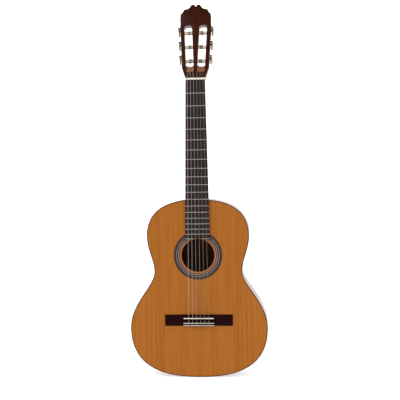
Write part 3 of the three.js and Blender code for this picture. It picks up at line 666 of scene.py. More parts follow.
class Finishes:
    """Every finish of the guitar, each mixed once."""

    def __init__(self) -> None:
        """Mixes the finishes, group by group."""
        self._woods_in_view()
        self._woods_inside()
        self._lines_and_rings()
        self._bone_and_plastic()
        self._metals_and_strings()

    def _woods_in_view(self) -> None:
        """Lacquered and oiled woods of the body, neck, head, board and bridge."""
        self.cedar = Wood("cedar_lacquered", (0.390, 0.130, 0.014), (0.250, 0.072, 0.004),
                          bookmatched=True, fine=900, broad=170, fine_share=0.55, roughness=0.36,
                          coat=0.05, specular=0.12).mixed()
        mahogany = Wood("mahogany_gloss", (0.165, 0.039, 0.011), (0.075, 0.016, 0.005), bookmatched=True,
                        fine=800, broad=70, pores=0.5, roughness=0.3, coat=0.3, specular=0.2)
        self.body = mahogany.mixed()
        self.rib = replace(mahogany, name="mahogany_bent", bookmatched=False, bent=True).mixed()
        self.neck = Wood("mahogany_satin", (0.200, 0.062, 0.022), (0.110, 0.030, 0.011), fine=800,
                         broad=60, pores=0.5, roughness=0.38).mixed()
        self.ramp = Wood("cedro_cut", (0.430, 0.180, 0.060), (0.250, 0.090, 0.030), fine=800, broad=120,
                         pores=0.3, roughness=0.4).mixed()
        self.binding = Wood("binding_dark", (0.100, 0.030, 0.012), (0.045, 0.012, 0.006), fine=600,
                            broad=120, roughness=0.3, coat=0.4).mixed()
        self.rosewood = Wood("rosewood_bridge", (0.016, 0.0012, 0.0014), (0.0050, 0.0005, 0.0007),
                             Grain.ACROSS, fine=900, broad=160, pores=0.5, roughness=0.3, coat=0.0,
                             specular=0.04).mixed()
        self.graft = Wood("rosewood_graft", (0.060, 0.015, 0.010), (0.020, 0.005, 0.004), fine=900,
                          broad=160, pores=0.5, roughness=0.3, coat=0.4).mixed()
        self.veneer = Wood("rosewood_head", (0.048, 0.0095, 0.0030), (0.020, 0.0038, 0.0014),
                           bookmatched=True, fine=700, broad=90, pores=0.5, roughness=0.3, coat=0.05,
                           specular=0.07).mixed()
        self.board = Wood("fingerboard_dark", (0.026, 0.018, 0.016), (0.010, 0.007, 0.0065), fine=900,
                          broad=110, pores=0.6, roughness=0.42, coat=0.0, specular=0.07).mixed()

    def _woods_inside(self) -> None:
        """Bare woods, seen through the soundhole only; the cedro is darkened far below the bare wood's own
        colour as painted shade inside the box.
        """
        self.spruce = Wood("spruce_bare", (0.620, 0.420, 0.220), (0.500, 0.310, 0.140), fine=700,
                           broad=90, roughness=0.6, coat=0.0).mixed()
        # Painted shade: this cedro is much darker than bare cedro, standing in for the shade inside the box.
        self.lining = Wood("cedro_painted_shade", (0.060, 0.020, 0.010), (0.030, 0.010, 0.005), fine=700,
                           broad=90, pores=0.4, roughness=0.6, coat=0.0, specular=0.1).mixed()

    def _lines_and_rings(self) -> None:
        """Purfling lines and the bands of the rosette."""
        self.black_line = Wood("purfling_black", (0.020, 0.013, 0.010), (0.010, 0.006, 0.005),
                               roughness=0.35, coat=0.05, specular=0.1).mixed()
        self.tan_line = Wood("purfling_maple", (0.330, 0.180, 0.090), (0.220, 0.110, 0.055),
                             roughness=0.35).mixed()
        self.ring_brown = Tiles("rosette_brown", (0.100, 0.042, 0.020), (0.060, 0.024, 0.012), 240).mixed()
        self.ring_rose = Tiles("rosette_rose", (0.330, 0.200, 0.150), (0.240, 0.140, 0.105), 160).mixed()
        self.ring_dark = Tiles("rosette_chequer", (0.0015, 0.001, 0.002), (0.040, 0.027, 0.027), 72,
                               rows=0.8, inner=54.6).mixed()
        self.ring_mauve = Tiles("rosette_mauve", (0.200, 0.150, 0.150), (0.110, 0.080, 0.090), 200).mixed()
        self.ring_outer = Tiles("rosette_umber", (0.090, 0.044, 0.028), (0.040, 0.020, 0.016), 180).mixed()

    def _bone_and_plastic(self) -> None:
        """Nut and saddle bone, and the plastics of drums and buttons."""
        self.bone = Moulded("bone_polished", (0.800, 0.760, 0.640), (0.700, 0.640, 0.500),
                            subsurface=0.15).mixed()
        self.ivory = Moulded("ivory_plastic", (0.700, 0.600, 0.480), (0.620, 0.510, 0.390),
                             roughness=0.35).mixed()
        self.pearl = Moulded("pearl_plastic", (0.800, 0.770, 0.680), (0.620, 0.580, 0.480), cloud=260,
                             roughness=0.18, coat=0.5).mixed()

    def _metals_and_strings(self) -> None:
        """Nickel, fret wire, wound strings and nylon."""
        self.nickel = Metal("nickel_plate", (0.300, 0.270, 0.240), (0.150, 0.130, 0.110), 0.26).mixed()
        self.fret = Metal("nickel_silver", (0.400, 0.380, 0.365), (0.290, 0.275, 0.260), 0.34,
                          (60.0, 2000.0, 2000.0)).mixed()
        # Each string's groove colour is darker than its crest: painted shade in the troughs of the wave,
        # between the turns on the wound strings.
        self.wound = StringSkin("string_wound", (0.560, 0.510, 0.460), (0.260, 0.230, 0.210),
                                pitch=0.25, metallic=0.85, roughness=0.35).mixed()
        self.nylon = StringSkin("string_nylon", (0.240, 0.180, 0.125), (0.210, 0.155, 0.105),
                                pitch=9.0, metallic=0.0, roughness=0.25).mixed()


@dataclass
class Workshop:
    """Turns shells into pieces: mesh, finish, body, replaced nodes and a line in the log."""

    finishes: Finishes
    made: int = 0

    def piece(self, name: str, shell: Shell, finish: bpy.types.Material, slot: str, body: str = "root",
              replaces: Sequence[str] = (), crease: float = 35.0) -> bpy.types.Object:
        """Makes one piece and puts it on its body.

        Args:
            name: the piece's name.
            shell: its closed surface.
            finish: its material.
            slot: the record's material slot that the finish belongs to; not used.
            body: the body that carries it.
            replaces: frame nodes that it stands for.
            crease: edges sharper than this many degrees stay sharp.

        Returns:
            The piece.
        """
        mesh = shell.mesh(name)
        mesh.set_sharp_from_angle(angle=math.radians(crease))
        mesh.materials.append(finish)
        piece = bpy.data.objects.new(name, mesh)
        bpy.context.scene.collection.objects.link(piece)
        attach(piece, body)
        if replaces:
            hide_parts(*replaces)
        self.made += 1
        log.info("%s: %d faces on %s", name, len(mesh.polygons), body)
        return piece

    def keep(self, node: str, finish: bpy.types.Material) -> None:
        """Gives a frame node that stays in view its finish."""
        mesh = frame["nodes"][node].data
        mesh.materials.clear()
        mesh.materials.append(finish)
        log.info("%s: frame node kept, finish %s", node, finish.name)


# ---------- body ----------
@dataclass(frozen=True)
class Outline:
    """The body's outline: four cubic bends from the tail to the heel, mirrored about the middle."""

    length: float = BODY_LONG
    lower: tuple[float, float] = (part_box("side_treble")[1].x / MM, 136.0)
    waist: tuple[float, float] = (121.0, 292.0)
    upper: tuple[float, float] = (140.5, 390.0)
    depth_at_tail: float = 95.0
    depth_at_heel: float = 88.0
    arch: float = 4.0

    def half(self, tail_x: float, heel_x: float, count: int) -> Array:
        """Half the outline between two distances from the middle line, evenly spaced.

        Args:
            tail_x: where it starts, at the tail.
            heel_x: where it ends, at the heel.
            count: points in it.

        Returns:
            (x, s) points on the +x side. Each bend is the cubic blend of its four control points,
            with an upright or level direction at both ends.
        """
        low, mid, top = self.lower, self.waist, self.upper
        bends = np.array([
            [(0, 0), (55, 0), (low[0], 2.4), low],
            [low, (low[0], low[1] + 70), (mid[0], mid[1] - 40.5), mid],
            [mid, (mid[0], mid[1] + 32), (top[0], top[1] - 41), top],
            [top, (top[0], top[1] + 49), (113, self.length), (0, self.length)],
        ])
        t = np.linspace(0, 1, 200)[:, None]
        weights = [(1 - t) ** 3, 3 * t * (1 - t) ** 2, 3 * t**2 * (1 - t), t**3]
        line = np.vstack([sum(w * point for w, point in zip(weights, bend)) for bend in bends])
        ends = [self._crossing(line, tail_x, line[:, 1] < low[1]),
                self._crossing(line, heel_x, line[:, 1] > top[1])]
        inside = (line[:, 1] > ends[0][1]) & (line[:, 1] < ends[1][1])
        return evenly(np.vstack([ends[0], line[inside], ends[1]]), count)

    @staticmethod
    def _crossing(line: Array, x: float, part: Array) -> Array:
        """The point of one part of the line at a distance x from the middle."""
        chosen = line[part][np.argsort(line[part][:, 0])]
        return np.array([x, np.interp(x, chosen[:, 0], chosen[:, 1])])

    def closed(self, count: int) -> Array:
        """The whole outline, anticlockwise from the tail, with about count points."""
        half = self.half(0, 0, count // 2 + 1)
        return np.vstack([half, (half * (-1, 1))[-2:0:-1]])

    def round_way(self, heel_x: float, count: int) -> Array:
        """From the heel on the -x side, round the tail, to the heel on the +x side."""
        half = self.half(0, heel_x, count // 2 + 1)
        return np.vstack([(half * (-1, 1))[:0:-1], half])

    def rim(self, s: Array) -> Array:
        """n of the back's rim: the depth falls evenly from the tail to the heel."""
        return -(self.depth_at_tail + (self.depth_at_heel - self.depth_at_tail) * s / self.length)

    def back(self, x: Array, s: Array) -> Array:
        """n of the back's outer face: its rim, plus an arch that falls off with the square of x."""
        return self.rim(s) - self.arch * (1 - (x / self.lower[0]) ** 2)


def strip(path: Array, section: Sequence[tuple[float, Height | float]]) -> Array:
    """A section carried along an open (x, s) path.

    Args:
        path: the path, with its inside on the left.
        section: (inset, n) pairs round the section, where n may be a height over (x, s).

    Returns:
        Rows of points: the path moved left by each inset, at each n.
    """
    run = np.gradient(path, axis=0)
    run = run / np.linalg.norm(run, axis=1, keepdims=True)
    left = np.stack([-run[:, 1], run[:, 0]], -1)
    columns = []
    for inset, height in section:
        place = path + inset * left
        n = height(place[:, 0], place[:, 1]) if callable(height) else np.full(len(path), float(height))
        columns.append(np.column_stack([place, n]))
    return np.stack(columns, axis=1)


@dataclass
class Body:
    """The soundbox: soundboard with its rosette, back, sides, bindings and what is glued inside."""

    shop: Workshop
    outline: Outline = field(default_factory=Outline)
    hole: tuple[float, float] = HOLE
    hole_radius: float = 45.3
    channel: tuple[float, float] = (47.6, 67.0)
    channel_deep: float = 0.8
    top_thick: float = 2.6
    back_thick: float = 2.5
    side_thick: float = 2.0
    binding_deep: float = 5.0
    purfling: float = 0.9
    graft_half: float = 9.0
    graft_line: float = 1.0
    heel_gap: float = 9.7
    round_count: int = 288
    ring_count: int = 192

    def build(self) -> None:
        """Builds and dresses the whole soundbox."""
        self.soundboard()
        self.rosette()
        self.back_plate()
        self.sides()
        self.bindings()
        self.graft()
        self.inside()

    def _spokes(self, middle: tuple[float, float], inset: float) -> tuple[Array, Array]:
        """Outline points moved inwards, and the unit direction from a middle to each of them."""
        rim = inward(self.outline.closed(self.round_count), inset)
        out = rim - middle
        return rim, out / np.linalg.norm(out, axis=1, keepdims=True)

    def soundboard(self) -> None:
        """The plate, as spokes from the soundhole to the outline.

        Each spoke goes up the hole's rounded edge, across the ring beside the hole, down into and
        out of the rosette's channel, straight to the rim, and back along the underside.
        """
        rim, out = self._spokes(self.hole, self.side_thick + self.purfling)
        near, far = self.channel
        hole, deep = self.hole_radius, self.channel_deep
        steps = [(hole, -self.top_thick), (hole, -0.7), (hole + 0.2, -0.3), (hole + 0.6, 0),
                 (near, 0), (near, -deep), (far, -deep), (far, 0)]
        rows = [np.column_stack([np.array(self.hole) + radius * out, np.full(len(out), n)])
                for radius, n in steps]
        ring_line = rows[-1][:, :2]
        for share in np.linspace(0, 1, 13)[1:]:
            rows.append(np.column_stack([ring_line + (rim - ring_line) * share, np.zeros(len(out))]))
        hole_line = rows[0][:, :2]
        for share in (1, 0.66, 0.33):
            under = hole_line + (rim - hole_line) * share
            rows.append(np.column_stack([under, np.full(len(out), -self.top_thick)]))
        shell = Shell().grid(np.stack(rows + rows[:1]), around=True)
        self.shop.piece("soundboard_plate", shell, self.shop.finishes.cedar, "cedar_top",
                        replaces=["soundboard"])

    def _annulus(self, inner: float, outer: float, top: float) -> Shell:
        """A flat ring let into the channel, its two top edges eased by a hair."""
        ease = 0.06
        section = [(inner, -self.channel_deep), (inner, top - ease), (inner + ease, top), (outer - ease, top),
                   (outer, top - ease), (outer, -self.channel_deep)]
        angle = TURN * np.arange(self.ring_count) / self.ring_count
        rows = [np.column_stack([self.hole[0] + r * np.cos(angle), self.hole[1] + r * np.sin(angle),
                                 np.full_like(angle, n)]) for r, n in section]
        return Shell().grid(np.stack(rows + rows[:1]), around=True)

    def rosette(self) -> None:
        """Eight rings, from the hole outwards: lines and tiled bands let into the channel."""
        done = self.shop.finishes
        rings = [("tan", 47.6, 49.4, done.tan_line), ("brown", 49.4, 52.6, done.ring_brown),
                 ("rose", 52.6, 54.6, done.ring_rose), ("chequer_inner", 54.6, 57.8, done.ring_dark),
                 ("mauve", 57.8, 60.2, done.ring_mauve), ("chequer_outer", 60.2, 63.4, done.ring_dark),
                 ("umber", 63.4, 66.3, done.ring_outer), ("edge", 66.3, 67.0, done.black_line)]
        for index, (label, inner, outer, finish) in enumerate(rings):
            shell = self._annulus(inner, outer, 0.02 + 0.01 * (index % 2))
            self.shop.piece(f"rosette_{label}", shell, finish, "rosette_inlay",
                            replaces=["rosette"] if label == "edge" else ())

    def back_plate(self) -> None:
        """The arched back, as spokes from its middle to the outline, a thin dark sheet of painted shade on
        its inside face, and the strip down its centre.
        """
        middle = (0.0, 250.0)
        rim, _ = self._spokes(middle, self.side_thick)
        shares = np.linspace(0, 1, 19)[:, None, None]
        flat = np.array(middle) + (rim - middle)[None] * shares
        outer = np.concatenate([flat, self.outline.back(flat[..., 0], flat[..., 1])[..., None]], -1)
        inner = outer + (0, 0, self.back_thick)
        shell = Shell().grid(np.concatenate([outer, inner[::-1]]), around=True)
        self.shop.piece("back_halves", shell, self.shop.finishes.body, "body_mahogany",
                        replaces=["back_plate"])
        # A thin dark sheet just inside the back: painted shade inside the box, not a part of the guitar.
        shares = np.linspace(0, 0.985, 12)[:, None, None]
        flat = np.array(middle) + (rim - middle)[None] * shares
        face = np.concatenate([flat, self.outline.back(flat[..., 0], flat[..., 1])[..., None]], -1)
        low, high = face + (0, 0, self.back_thick - 0.3), face + (0, 0, self.back_thick + 0.1)
        shell = Shell().grid(np.concatenate([low, high[::-1]]), around=True)
        self.shop.piece("back_inside_painted_shade", shell, self.shop.finishes.lining, "inner_cedro")
        s, x = np.meshgrid(np.linspace(2.2, self.outline.length - 2.2, 60),
                           np.linspace(-1.6, 1.6, 5), indexing="ij")
        face = np.stack([x, s, self.outline.back(x, s) - 0.06], -1)
        shell = sheet_solid(face, face + (0, 0, 0.8))
        self.shop.piece("back_centre_strip", shell, self.shop.finishes.binding, "dark_binding")

    def sides(self) -> None:
        """Two bent ribs: a thin section from the top binding to the back binding, along the outline."""
        deep = self.binding_deep
        thick = self.side_thick

        def low(x: Array, s: Array) -> Array:
            """n of the rib's back edge, on the back binding."""
            return self.outline.back(x, s) + deep

        half = self.outline.half(self.graft_half, self.heel_gap, 200)
        levels: list[Height | float] = [-deep]
        for share in (0.25, 0.5, 0.75):
            levels.append(lambda x, s, share=share: -deep + (low(x, s) + deep) * share)
        levels.append(low)
        section = [(0.0, level) for level in levels] + [(thick, level) for level in reversed(levels)]
        rows = strip(half, section)
        length = np.concatenate([[0], np.cumsum(np.linalg.norm(np.diff(half, axis=0), axis=1))])
        along = np.repeat(length[:, None], rows.shape[1], axis=1)
        for name, side in (("treble", 1), ("bass", -1)):
            self.shop.piece(f"rib_{name}", loft(rows * (side, 1, 1), along), self.shop.finishes.rib,
                            "body_mahogany", replaces=[f"side_{name}"])

    def bindings(self) -> None:
        """A binding with a rounded corner round each edge, and a black line inside the front one."""
        path = self.outline.round_way(14.0, 2 * self.round_count)
        edge, deep, thick = 1.1, self.binding_deep, self.side_thick
        done = self.shop.finishes
        arc = [(edge * (1 - math.sin(a)), -edge * (1 - math.cos(a))) for a in np.linspace(0, math.pi / 2, 5)]
        section: list[tuple[float, Height | float]] = [(thick, 0.0), *arc, (0.0, -deep), (thick, -deep)]
        self.shop.piece("binding_front", loft(strip(path, section)), done.binding, "dark_binding",
                        replaces=["top_binding"])
        line = [(thick, 0.015), (thick + self.purfling, 0.015), (thick + self.purfling, -1.5), (thick, -1.5)]
        self.shop.piece("purfling_front", loft(strip(path, line)), done.black_line, "dark_binding")
        back = self.outline.back

        def raised(by: float) -> Height:
            """A height that stands by millimetres in front of the back's outer face."""
            return lambda x, s: back(x, s) + by

        low = [(inset, raised(-n)) for inset, n in arc]
        section = [(thick, raised(0)), *low, (0.0, raised(deep)), (thick, raised(deep))]
        closed = self.outline.closed(2 * self.round_count)
        rows = strip(np.vstack([closed, closed[:1]]), section)
        rows[-1] = rows[0]
        self.shop.piece("binding_back", Shell().grid(rows, around=True), done.binding, "dark_binding",
                        replaces=["back_binding"])

    def graft(self) -> None:
        """The strip that covers the joint of the ribs at the tail, between two maple lines."""
        low = float(self.outline.back(0, 0)) + self.binding_deep
        outer, inner = self.graft_half, self.graft_half - self.graft_line
        for name, x0, x1, finish, nodes in [
                ("end_graft_wood", -inner, inner, self.shop.finishes.graft, ["end_graft"]),
                ("end_graft_line_bass", -outer, -inner, self.shop.finishes.tan_line, []),
                ("end_graft_line_treble", inner, outer, self.shop.finishes.tan_line, [])]:
            loop = box_loop(x0, x1, low, -self.binding_deep, 0.05)
            shell = slab(loop, [(0.0, 0.0), (0.0, 2.0)], lambda p: p[..., [0, 2, 1]])
            self.shop.piece(name, shell, finish, "rosewood", replaces=nodes)

    def inside(self) -> None:
        """Finishes for what is glued inside the box and seen only through the soundhole: the dark cedro on
        linings, tail block and back braces is painted shade.
        """
        done = self.shop.finishes
        for node in ("top_lining", "back_lining", "tail_block", "back_bracing"):
            # Dark cedro: painted shade inside the box.
            self.shop.keep(node, done.lining)
        self.shop.keep("soundboard_bracing", done.spruce)


# ---------- bridge ----------
@dataclass
class Bridge:
    """The tie bridge: two low wings, the block with its trough and tie block, and the saddle."""

    shop: Workshop
    half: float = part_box("bridge")[1].x / MM
    block_half: float = 42.3
    start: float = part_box("bridge")[0].z / MM
    end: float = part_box("bridge")[1].z / MM
    wing_high: float = 3.6
    saddle_at: float = SADDLE_AT
    saddle_high: float = SADDLE_HIGH
    saddle_half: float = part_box("saddle")[1].x / MM

    def build(self) -> None:
        """Builds the wings, the block, its inlays and the saddle."""
        for side, name in ((-1, "bass"), (1, "treble")):
            self.wing(side, name)
        self.block()
        self.inlays()
        self.saddle()

    def wing(self, side: int, name: str) -> None:
        """One wing: a crowned top that falls to thin long edges, with a flat bevel at its end.

        Height is the smaller of a crown across the wing, which rises with the square root of the
        distance from its edge, and a straight ramp up from its end.
        """
        out, across = np.meshgrid(np.linspace(0, 1, 41) ** 0.7, np.linspace(-1, 1, 25), indexing="ij")
        x = self.block_half + (self.half - self.block_half) * out
        s = (self.start + self.end) / 2 + (self.end - self.start) / 2 * across
        edge = 1 - np.abs(across)
        crown = 1.3 + (self.wing_high - 1.3) * np.clip(edge / 0.42, 0, 1) ** 0.6
        end = 1.1 + (self.half - x) * 0.5
        top = np.stack([side * x, s, np.minimum(crown, end)], -1)
        bottom = np.stack([side * x, s, np.full_like(x, 0.02)], -1)
        self.shop.piece(f"bridge_wing_{name}", sheet_solid(top, bottom), self.shop.finishes.rosewood,
                        "rosewood", crease=28)

    def block(self) -> None:
        """The middle block: one profile with the saddle ridge, the trough and the tie block."""
        near, far, saddle = self.start, self.end, self.saddle_at
        profile = smooth_through([(far, 0.02), (far, 3.0), (far - 1.2, 6.0), (far - 3, 8.0), (far - 5, 8.6),
                                  (saddle - 2.6, 8.7), (saddle - 3.6, 8.3)], 4)
        trough = smooth_through([(saddle - 3.9, 7.4), (saddle - 5.6, 4.4), (saddle - 7, 3.4),
                                 (near + 11, 3.4), (near + 10.3, 4.2)], 4)
        tie = smooth_through([(near + 10.1, 5.4), (near + 10, 8.0), (near + 9.2, 8.75), (near + 5, 8.7),
                              (near + 1.4, 8.45), (near + 0.4, 8.0), (near, 7.0), (near, 0.02)], 4)
        loop = np.vstack([profile, trough, tie])[::-1]
        rows = carried_across(loop, self.block_half, 0.993 * self.block_half, -0.35)
        rows[..., 2] = np.maximum(rows[..., 2], 0.02)
        shell = Shell().grid(rows, around=True).flat([rows[0]]).flat([rows[-1]])
        self.shop.piece("bridge_block", shell, self.shop.finishes.rosewood, "rosewood", replaces=["bridge"])

    def inlays(self) -> None:
        """Two thin bone lines let into the long edges of the tie block."""
        for name, at in (("front", self.start + 8.3), ("back", self.start + 1.9)):
            loop = box_loop(-self.block_half + 0.3, self.block_half - 0.3, at - 0.75, at + 0.75, 0.3)
            shell = slab(loop, rounded(8.3, 9.0, 0.2, 2), lambda p: p)
            self.shop.piece(f"tie_block_line_{name}", shell, self.shop.finishes.bone, "bone_white")

    def saddle(self) -> None:
        """The saddle: a thin upright strip of bone with a round top and eased ends."""
        angle = np.linspace(0, math.pi, 9)
        half = 1.3
        top = np.column_stack([self.saddle_at + half * np.cos(angle),
                               self.saddle_high - half + half * np.sin(angle)])
        loop = np.vstack([top, [(self.saddle_at - half, 3.2), (self.saddle_at + half, 3.2)]])
        rows = carried_across(loop, self.saddle_half, 0.985 * self.saddle_half, 0.5)
        self.shop.piece("saddle_bone", loft(rows), self.shop.finishes.bone, "bone_white",
                        replaces=["saddle"])


# ---------- neck ----------
@dataclass
class Neck:
    """The neck: shaft and heel in one surface, the foot inside the body, and the heel's cap."""

    shop: Workshop
    head: HeadAxes
    nut_at: float = NUT_AT
    nut_long: float = NUT_LONG
    lean_from: float = 790.0
    lean_long: float = 30.0
    bend_from: float = 590.0
    body_at: float = 490.3
    half_at_nut: float = 26.4
    half_at_body: float = 31.6
    deep_at_nut: float = 16.5
    deep_at_heel: float = 18.5
    heel_deep: float = 91.5
    heel_half: float = 12.5
    heel_rise: float = 24.0

    def build(self) -> None:
        """Builds the neck, its foot and the heel cap."""
        self.shaft_and_heel()
        self.foot()
        self.heel_cap()

    def _half(self, s: Array) -> Array:
        """Half the neck's width, straight from the body to the nut."""
        share = (self.nut_at - np.minimum(s, self.nut_at)) / (self.nut_at - self.body_at)
        return self.half_at_nut + (self.half_at_body - self.half_at_nut) * share

    def shaft_and_heel(self) -> None:
        """One surface of closed sections, square to the neck first and turning down into the heel.

        Each section starts and ends on a border line, which follows the fingerboard's edge down to
        the ribs and then the ribs down to the back. In between it bows out to the nose line: x
        falls off as a power of the cosine, and the way from border to nose grows as a power of the
        sine. The powers make the shaft a full D, squarer where it joins the head and rounder in the
        heel.
        """
        straight = np.linspace(0, 1, 49)[:-1]
        s = self.nut_at + self.nut_long + (self.bend_from - self.nut_at - self.nut_long) * straight
        slope = (self.deep_at_heel - self.deep_at_nut) / (self.nut_at - self.body_at)
        deep = self.deep_at_nut + (self.nut_at + self.nut_long - s) * slope
        along_edge = self.bend_from + (self.body_at - self.bend_from) * np.linspace(0, 1, 25) ** 0.9
        down = np.linspace(0, 1, 37)[1:]
        rib = self.heel_half + (self.half_at_body - self.heel_half) * (1 - down) ** 1.35
        edge = np.concatenate([s, along_edge])
        border = np.vstack([np.stack([self._half(edge), edge, 0 * edge], -1),
                            np.stack([rib, np.full_like(down, self.body_at), -self.heel_deep * down], -1)])
        last = deep[-1] + (s[-1] - self.bend_from) * slope
        rise, end = self.body_at + self.heel_rise, self.heel_deep
        curve = smooth_through([(self.bend_from, last), (self.bend_from - 25, last + 0.9),
                                (rise + 35, last + 3.1), (rise + 21, last + 8), (rise + 12, last + 16),
                                (rise + 6.5, last + 27), (rise + 3, last + 42), (rise + 1, end - 14),
                                (rise, end)], 8)
        curve = evenly(curve, len(along_edge) + len(down))
        nose = np.vstack([np.stack([s, -deep], -1), curve * (1, -1)])
        squarer = 0.8 - 0.45 * np.clip((s - self.nut_at + 35) / 35, 0, 1) ** 2
        power = np.concatenate([squarer, np.linspace(0.8, 1.15, len(curve))])[:, None]
        angle = np.linspace(0, math.pi, 41)[None, :]
        cosine, sine = np.cos(angle), np.clip(np.sin(angle), 0, 1)
        x = border[:, :1] * np.sign(cosine) * np.abs(cosine) ** power
        out = sine ** (0.6 + 0.4 * power)
        rest = border[:, None, 1:] + (nose - border[:, 1:])[:, None] * out[..., None]
        rows = self._meet_head(np.concatenate([x[..., None], rest], -1))
        self.shop.piece("neck_shaft_and_heel", loft(rows), self.shop.finishes.neck, "neck_mahogany",
                        replaces=["neck"], crease=40)

    def _meet_head(self, rows: Array) -> Array:
        """The rows nearest the head leaned over to the plane in which the head's face ends."""
        s, n = rows[..., 1], rows[..., 2]
        plane = self.head.at_s + (n - self.head.at_n) * math.tan(self.head.tilt)
        lean = np.clip((s - self.lean_from) / self.lean_long, 0, 1)
        moved = s + lean * (plane - (self.nut_at + self.nut_long))
        return np.stack([rows[..., 0], moved, n], -1)

    def foot(self) -> None:
        """The foot inside the body: one profile with a low toe on the back, carried across."""
        loop = np.array([(485.8, -89.0), (485.8, -2.9), (452.0, -2.9), (452.0, -66.0), (449.0, -74.0),
                         (443.0, -78.0), (426.0, -79.0), (425.0, -80.0), (425.0, -88.0), (426.0, -89.0)])
        rows = carried_across(loop, 24, 23, 1)
        shell = Shell().grid(rows, around=True).flat([rows[0]]).flat([rows[-1]])
        # The dark cedro finish is painted shade inside the box.
        self.shop.piece("neck_foot", shell, self.shop.finishes.lining, "inner_cedro")

    def heel_cap(self) -> None:
        """A thin plate over the end of the heel, of the heel's own outline."""
        angle = np.linspace(0, math.pi, 33)
        x = self.heel_half * np.sign(np.cos(angle)) * np.abs(np.cos(angle)) ** 1.15
        s = self.body_at + (self.heel_rise + 0.2) * np.sin(angle) ** 1.06
        loop = np.column_stack([x, s])
        shell = slab(loop, rounded(-self.heel_deep + 0.05, -self.heel_deep - 1.5, 0.4, 2), lambda p: p)
        self.shop.piece("heel_cap", shell, self.shop.finishes.graft, "rosewood")


@dataclass
class Fingerboard:
    """The fingerboard, its nineteen frets and the nut."""

    shop: Workshop
    scale: float = 650.0
    nut_at: float = NUT_AT
    nut_long: float = NUT_LONG
    nut_high: float = 9.2
    half_at_nut: float = 26.6
    half_at_body: float = 32.0
    body_at: float = BODY_LONG
    thick: float = 6.5
    end: float = 378.0
    arc_half: float = 21.0
    arc_radius: float = 47.0
    hole_at: float = HOLE[1]
    fret_short: float = 0.25
    fret_wide: float = 2.2
    fret_high: float = 1.0
    last_gap: float = 10.6

    def half(self, s: Array) -> Array:
        """Half the board's width, straight from the nut to the body and on."""
        taper = (self.half_at_body - self.half_at_nut) / (self.nut_at - self.body_at)
        return self.half_at_nut + (self.nut_at - s) * taper

    def fret_at(self, number: int) -> float:
        """Where a fret stands: each one takes a twelfth root of two off the sounding length."""
        return self.nut_at - self.scale * (1 - 2 ** (-number / 12))

    def build(self, strings: "Strings") -> None:
        """Builds the board, the frets and the nut, which is cut for the strings."""
        self.board()
        for number in range(1, 19):
            half = float(self.half(self.fret_at(number))) - self.fret_short
            self.fret(f"fret_wire_{number:02d}", f"fret_{number:02d}", number, -half, half)
        half = float(self.half(self.fret_at(19))) - self.fret_short
        self.fret("fret_wire_19_bass", "fret_19_bass", 19, -half, -self.last_gap)
        self.fret("fret_wire_19_treble", "fret_19_treble", 19, self.last_gap, half)
        self.nut(strings)

    def board(self) -> None:
        """The board: sections from side to side, whose lower ends follow an arc about the soundhole.

        Along the board, s goes straight from the end line to the nut. Across it, the top dips by a
        quarter circle at each long edge.
        """
        edge = 0.8
        quarter = np.linspace(0, math.pi / 2, 4)
        middle = np.linspace(1, -1, 29)[1:-1]
        level = np.zeros(len(middle))
        across = np.concatenate([[1.0] * 4, middle, [-1.0] * 4])
        fall, draw = edge * (1 - np.sin(quarter)), edge * (1 - np.cos(quarter))
        drop = -np.concatenate([fall, level, fall[::-1]])
        inset = np.concatenate([draw, level, draw[::-1]])
        wide = across * float(self.half(self.end))
        arc = self.hole_at + np.sqrt(self.arc_radius**2 - np.minimum(np.abs(wide), self.arc_half) ** 2)
        share = np.linspace(0, 1, 80)[:, None]
        s = arc + (self.nut_at - arc) * share
        x = across * (self.half(s) - inset)
        top = np.stack([x, s, np.broadcast_to(self.thick + drop, s.shape)], -1)
        bottom = np.stack([across * self.half(s), s, np.full_like(s, 0.03)], -1)
        self.shop.piece("fingerboard_wood", sheet_solid(top, bottom), self.shop.finishes.board,
                        "fingerboard_dark", replaces=["fingerboard"], crease=32)

    def fret(self, name: str, node: str, number: int, x0: float, x1: float) -> None:
        """One fret wire: a crowned section, half an ellipse high, whose ends are filed back.

        Args:
            name: the piece's name.
            node: the frame node that it stands for.
            number: which fret.
            x0: its -x end.
            x1: its +x end.
        """
        angle = np.linspace(0, math.pi, 11)
        s = self.fret_at(number) + self.fret_wide / 2 * np.cos(angle)
        high = self.fret_high * np.sin(angle) ** 0.8
        s = np.concatenate([s, s[[-1, 0]]])
        n = self.thick + np.concatenate([high, [-0.3, -0.3]])
        stations = [(x0, 0.0), (x0 + 0.15, 0.45), (x0 + 0.6, 1.0), (x1 - 0.6, 1.0),
                    (x1 - 0.15, 0.45), (x1, 0.0)]
        floor = self.thick + 0.05
        rows = [np.column_stack([np.full(len(s), x), s, np.where(n > floor, floor + (n - floor) * lift, n)])
                for x, lift in stations]
        self.shop.piece(name, loft(np.stack(rows)), self.shop.finishes.fret, "fret_nickel_silver",
                        replaces=[node])

    def nut(self, strings: "Strings") -> None:
        """The nut: a rounded bar of bone with a groove for each string.

        The top's height is flat, less a roll-off near its long edges and less a round groove about
        each string.
        """
        x = np.linspace(-self.half_at_nut - 0.05, self.half_at_nut + 0.05, 213)
        s = self.nut_at + self.nut_long * np.linspace(0.01, 1, 9)
        across, along = np.meshgrid(x, s, indexing="ij")
        edge = np.minimum(along - s[0], s[-1] - along)
        high = self.nut_high - 0.9 * np.clip(1 - edge / 1.2, 0, 1) ** 2
        side = self.half_at_nut + 0.05 - np.abs(across)
        high = high - 0.5 * np.clip(1 - side / 0.8, 0, 1) ** 2
        for string in strings.lines:
            groove = np.sqrt(np.clip((string.radius + 0.12) ** 2 - (across - string.nut_x) ** 2, 0, None))
            bed = strings.over_nut + string.radius
            cut = np.where(np.abs(across - string.nut_x) < string.radius + 0.12, bed - groove, high)
            high = np.minimum(high, cut)
        top = np.stack([across, along, high], -1)
        bottom = np.stack([across, along, np.full_like(across, 0.03)], -1)
        self.shop.piece("nut_bone", sheet_solid(top, bottom), self.shop.finishes.bone, "bone_white",
                        replaces=["nut"])


